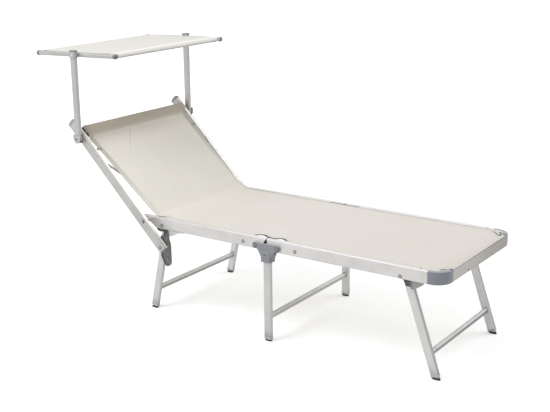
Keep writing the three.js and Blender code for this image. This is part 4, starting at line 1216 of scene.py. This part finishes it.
# Corner covers: a pale plate inside each rounded corner, with a slot through it and a near-black plate under
# the slot as painted shade
COVER_TOP = 0.0006
COVER_THICK = 0.0022
FLOOR_OVERLAP = 0.0006
FLOOR_THICK = 0.0005
FLOOR_REACH = 1.12
SLOT_CENTRE = (0.7290, 0.2585)
SLOT_TURN = 52
SLOT_HALF = (0.0142, 0.0054)
cover_plastic = plastic("cover_plastic", COVER_PLASTIC, 0.45)


def cover_outline():
    inner = CORNER_RADIUS - RAIL_WIDTH + 0.0005
    spots = []
    for step in range(13):
        a = radians(90 - 90 * step / 12)
        spots.append((CORNER_CENTRE[0] + inner * cos(a), CORNER_CENTRE[1] + inner * sin(a)))
    spots.append((cut_end - fold_x + COVER_GAP, cut_half - CLOTH_GAP))
    spots.append((rail_end - fold_x + CLOTH_GAP, cut_start + COVER_GAP))
    return spots


def slot_outline(share):
    turn = radians(-SLOT_TURN)
    spots = []
    for centre, start in ((1, -90), (-1, 90)):
        for step in range(9):
            a = radians(start + 180 * step / 8)
            u = centre * (SLOT_HALF[0] - SLOT_HALF[1]) + share * SLOT_HALF[1] * cos(a)
            v = share * SLOT_HALF[1] * sin(a)
            x = SLOT_CENTRE[0] + u * cos(turn) - v * sin(turn)
            spots.append((x, SLOT_CENTRE[1] + u * sin(turn) + v * cos(turn)))
    return spots


# A flat plate from its outlines, the first one outside and any others holes in it
def plate(name, outlines, sign, top, thick, material):
    form = bmesh.new()
    for spots in outlines:
        loop = [form.verts.new((fold_x + x, sign * y, top - thick)) for x, y in spots]
        for k, vert in enumerate(loop):
            form.edges.new((vert, loop[(k + 1) % len(loop)]))
    bmesh.ops.triangle_fill(form, edges=form.edges[:], use_beauty=True)
    bmesh.ops.recalc_face_normals(form, faces=form.faces[:])
    lifted = bmesh.ops.extrude_face_region(form, geom=form.faces[:])
    raised = [item for item in lifted["geom"] if isinstance(item, bmesh.types.BMVert)]
    bmesh.ops.translate(form, verts=raised, vec=(0, 0, thick))
    bmesh.ops.recalc_face_normals(form, faces=form.faces[:])
    mesh = bpy.data.meshes.new(name)
    form.to_mesh(mesh)
    form.free()
    mesh.materials.append(material)
    settle(linked(name, mesh), "foot_section")


slot_shadow = plastic("slot_shadow_plastic", PAINTED_SHADE_DARK, 0.7)
cover_top = rail_top - COVER_TOP
floor_top = cover_top - COVER_THICK + FLOOR_OVERLAP
for side, sign in SIDES:
    outlines = (cover_outline(), slot_outline(1.0))
    plate(f"corner_cover_{side}", outlines, sign, cover_top, COVER_THICK, cover_plastic)
    plate(f"slot_shadow_floor_{side}", (slot_outline(FLOOR_REACH),), sign, floor_top, FLOOR_THICK, slot_shadow)


# Floor, world and lamps
FLOOR_HALF = 20.0
FLOOR_NEAR = (1.6, 3.6)
FLOOR_GLOW = (0.42, 0.75)
FLOOR_GREYS = ((0.80, 0.80, 0.80), (0.82, 0.82, 0.82))
SKY = (0.38, 0.62)


# Rays that see the white background: the camera's, and those in reflections and through clear pieces
def seen_rays(tree):
    path = node(tree, "ShaderNodeLightPath")
    seen = calc(tree, "MAXIMUM", path.outputs["Is Camera Ray"], path.outputs["Is Glossy Ray"])
    return calc(tree, "MAXIMUM", seen, path.outputs["Is Transmission Ray"])


def stage_floor():
    mesh = bpy.data.meshes.new("floor")
    half = FLOOR_HALF
    corners = [(-half, -half, 0), (half, -half, 0), (half, half, 0), (-half, half, 0)]
    mesh.from_pydata(corners, [], [(0, 1, 2, 3)])
    made = linked("floor", mesh)
    material, tree, shader = begin("floor", 0.9)
    shader.inputs["Specular IOR Level"].default_value = 0.0
    where = object_place(tree)
    paint(tree, shader, mixed(tree, noise(tree, where, 4.0), *FLOOR_GREYS))
    away = node(tree, "ShaderNodeVectorMath", {0: where}, operation="LENGTH").outputs["Value"]
    glow = span(tree, away, *FLOOR_NEAR, *FLOOR_GLOW)
    shader.inputs["Emission Color"].default_value = (1, 1, 1, 1)
    tree.links.new(times(tree, seen_rays(tree), glow), shader.inputs["Emission Strength"])
    mesh.materials.append(material)


stage_floor()

world = bpy.data.worlds.new("studio")
bpy.context.scene.world = world
world.use_nodes = True
tree = world.node_tree
tree.nodes.clear()
direction = node(tree, "ShaderNodeTexCoord").outputs["Generated"]
level = span(tree, part_of(tree, direction, "Z"), -0.2, 1.0, *SKY)
soft, white = (
    node(tree, "ShaderNodeBackground", {"Color": (1, 1, 1, 1), "Strength": strength}).outputs[0]
    for strength in (level, 1.0)
)
both_skies = node(tree, "ShaderNodeMixShader", {0: seen_rays(tree), 1: soft, 2: white}).outputs[0]
node(tree, "ShaderNodeOutputWorld", {0: both_skies})


def lamp(name, place, target, size, power):
    data = bpy.data.lights.new(name, "AREA")
    data.shape = "SQUARE"
    data.size = size
    data.energy = power
    made = linked(name, data)
    made.location = place
    made.rotation_mode = "QUATERNION"
    made.rotation_quaternion = (Vector(target) - Vector(place)).to_track_quat("-Z", "Y")


lamp("key", (-1.6, -3.2, 4.2), (0, 0, 0.4), 3.0, 150)
lamp("fill", (2.4, 2.6, 3.6), (0, 0, 0.4), 3.0, 60)
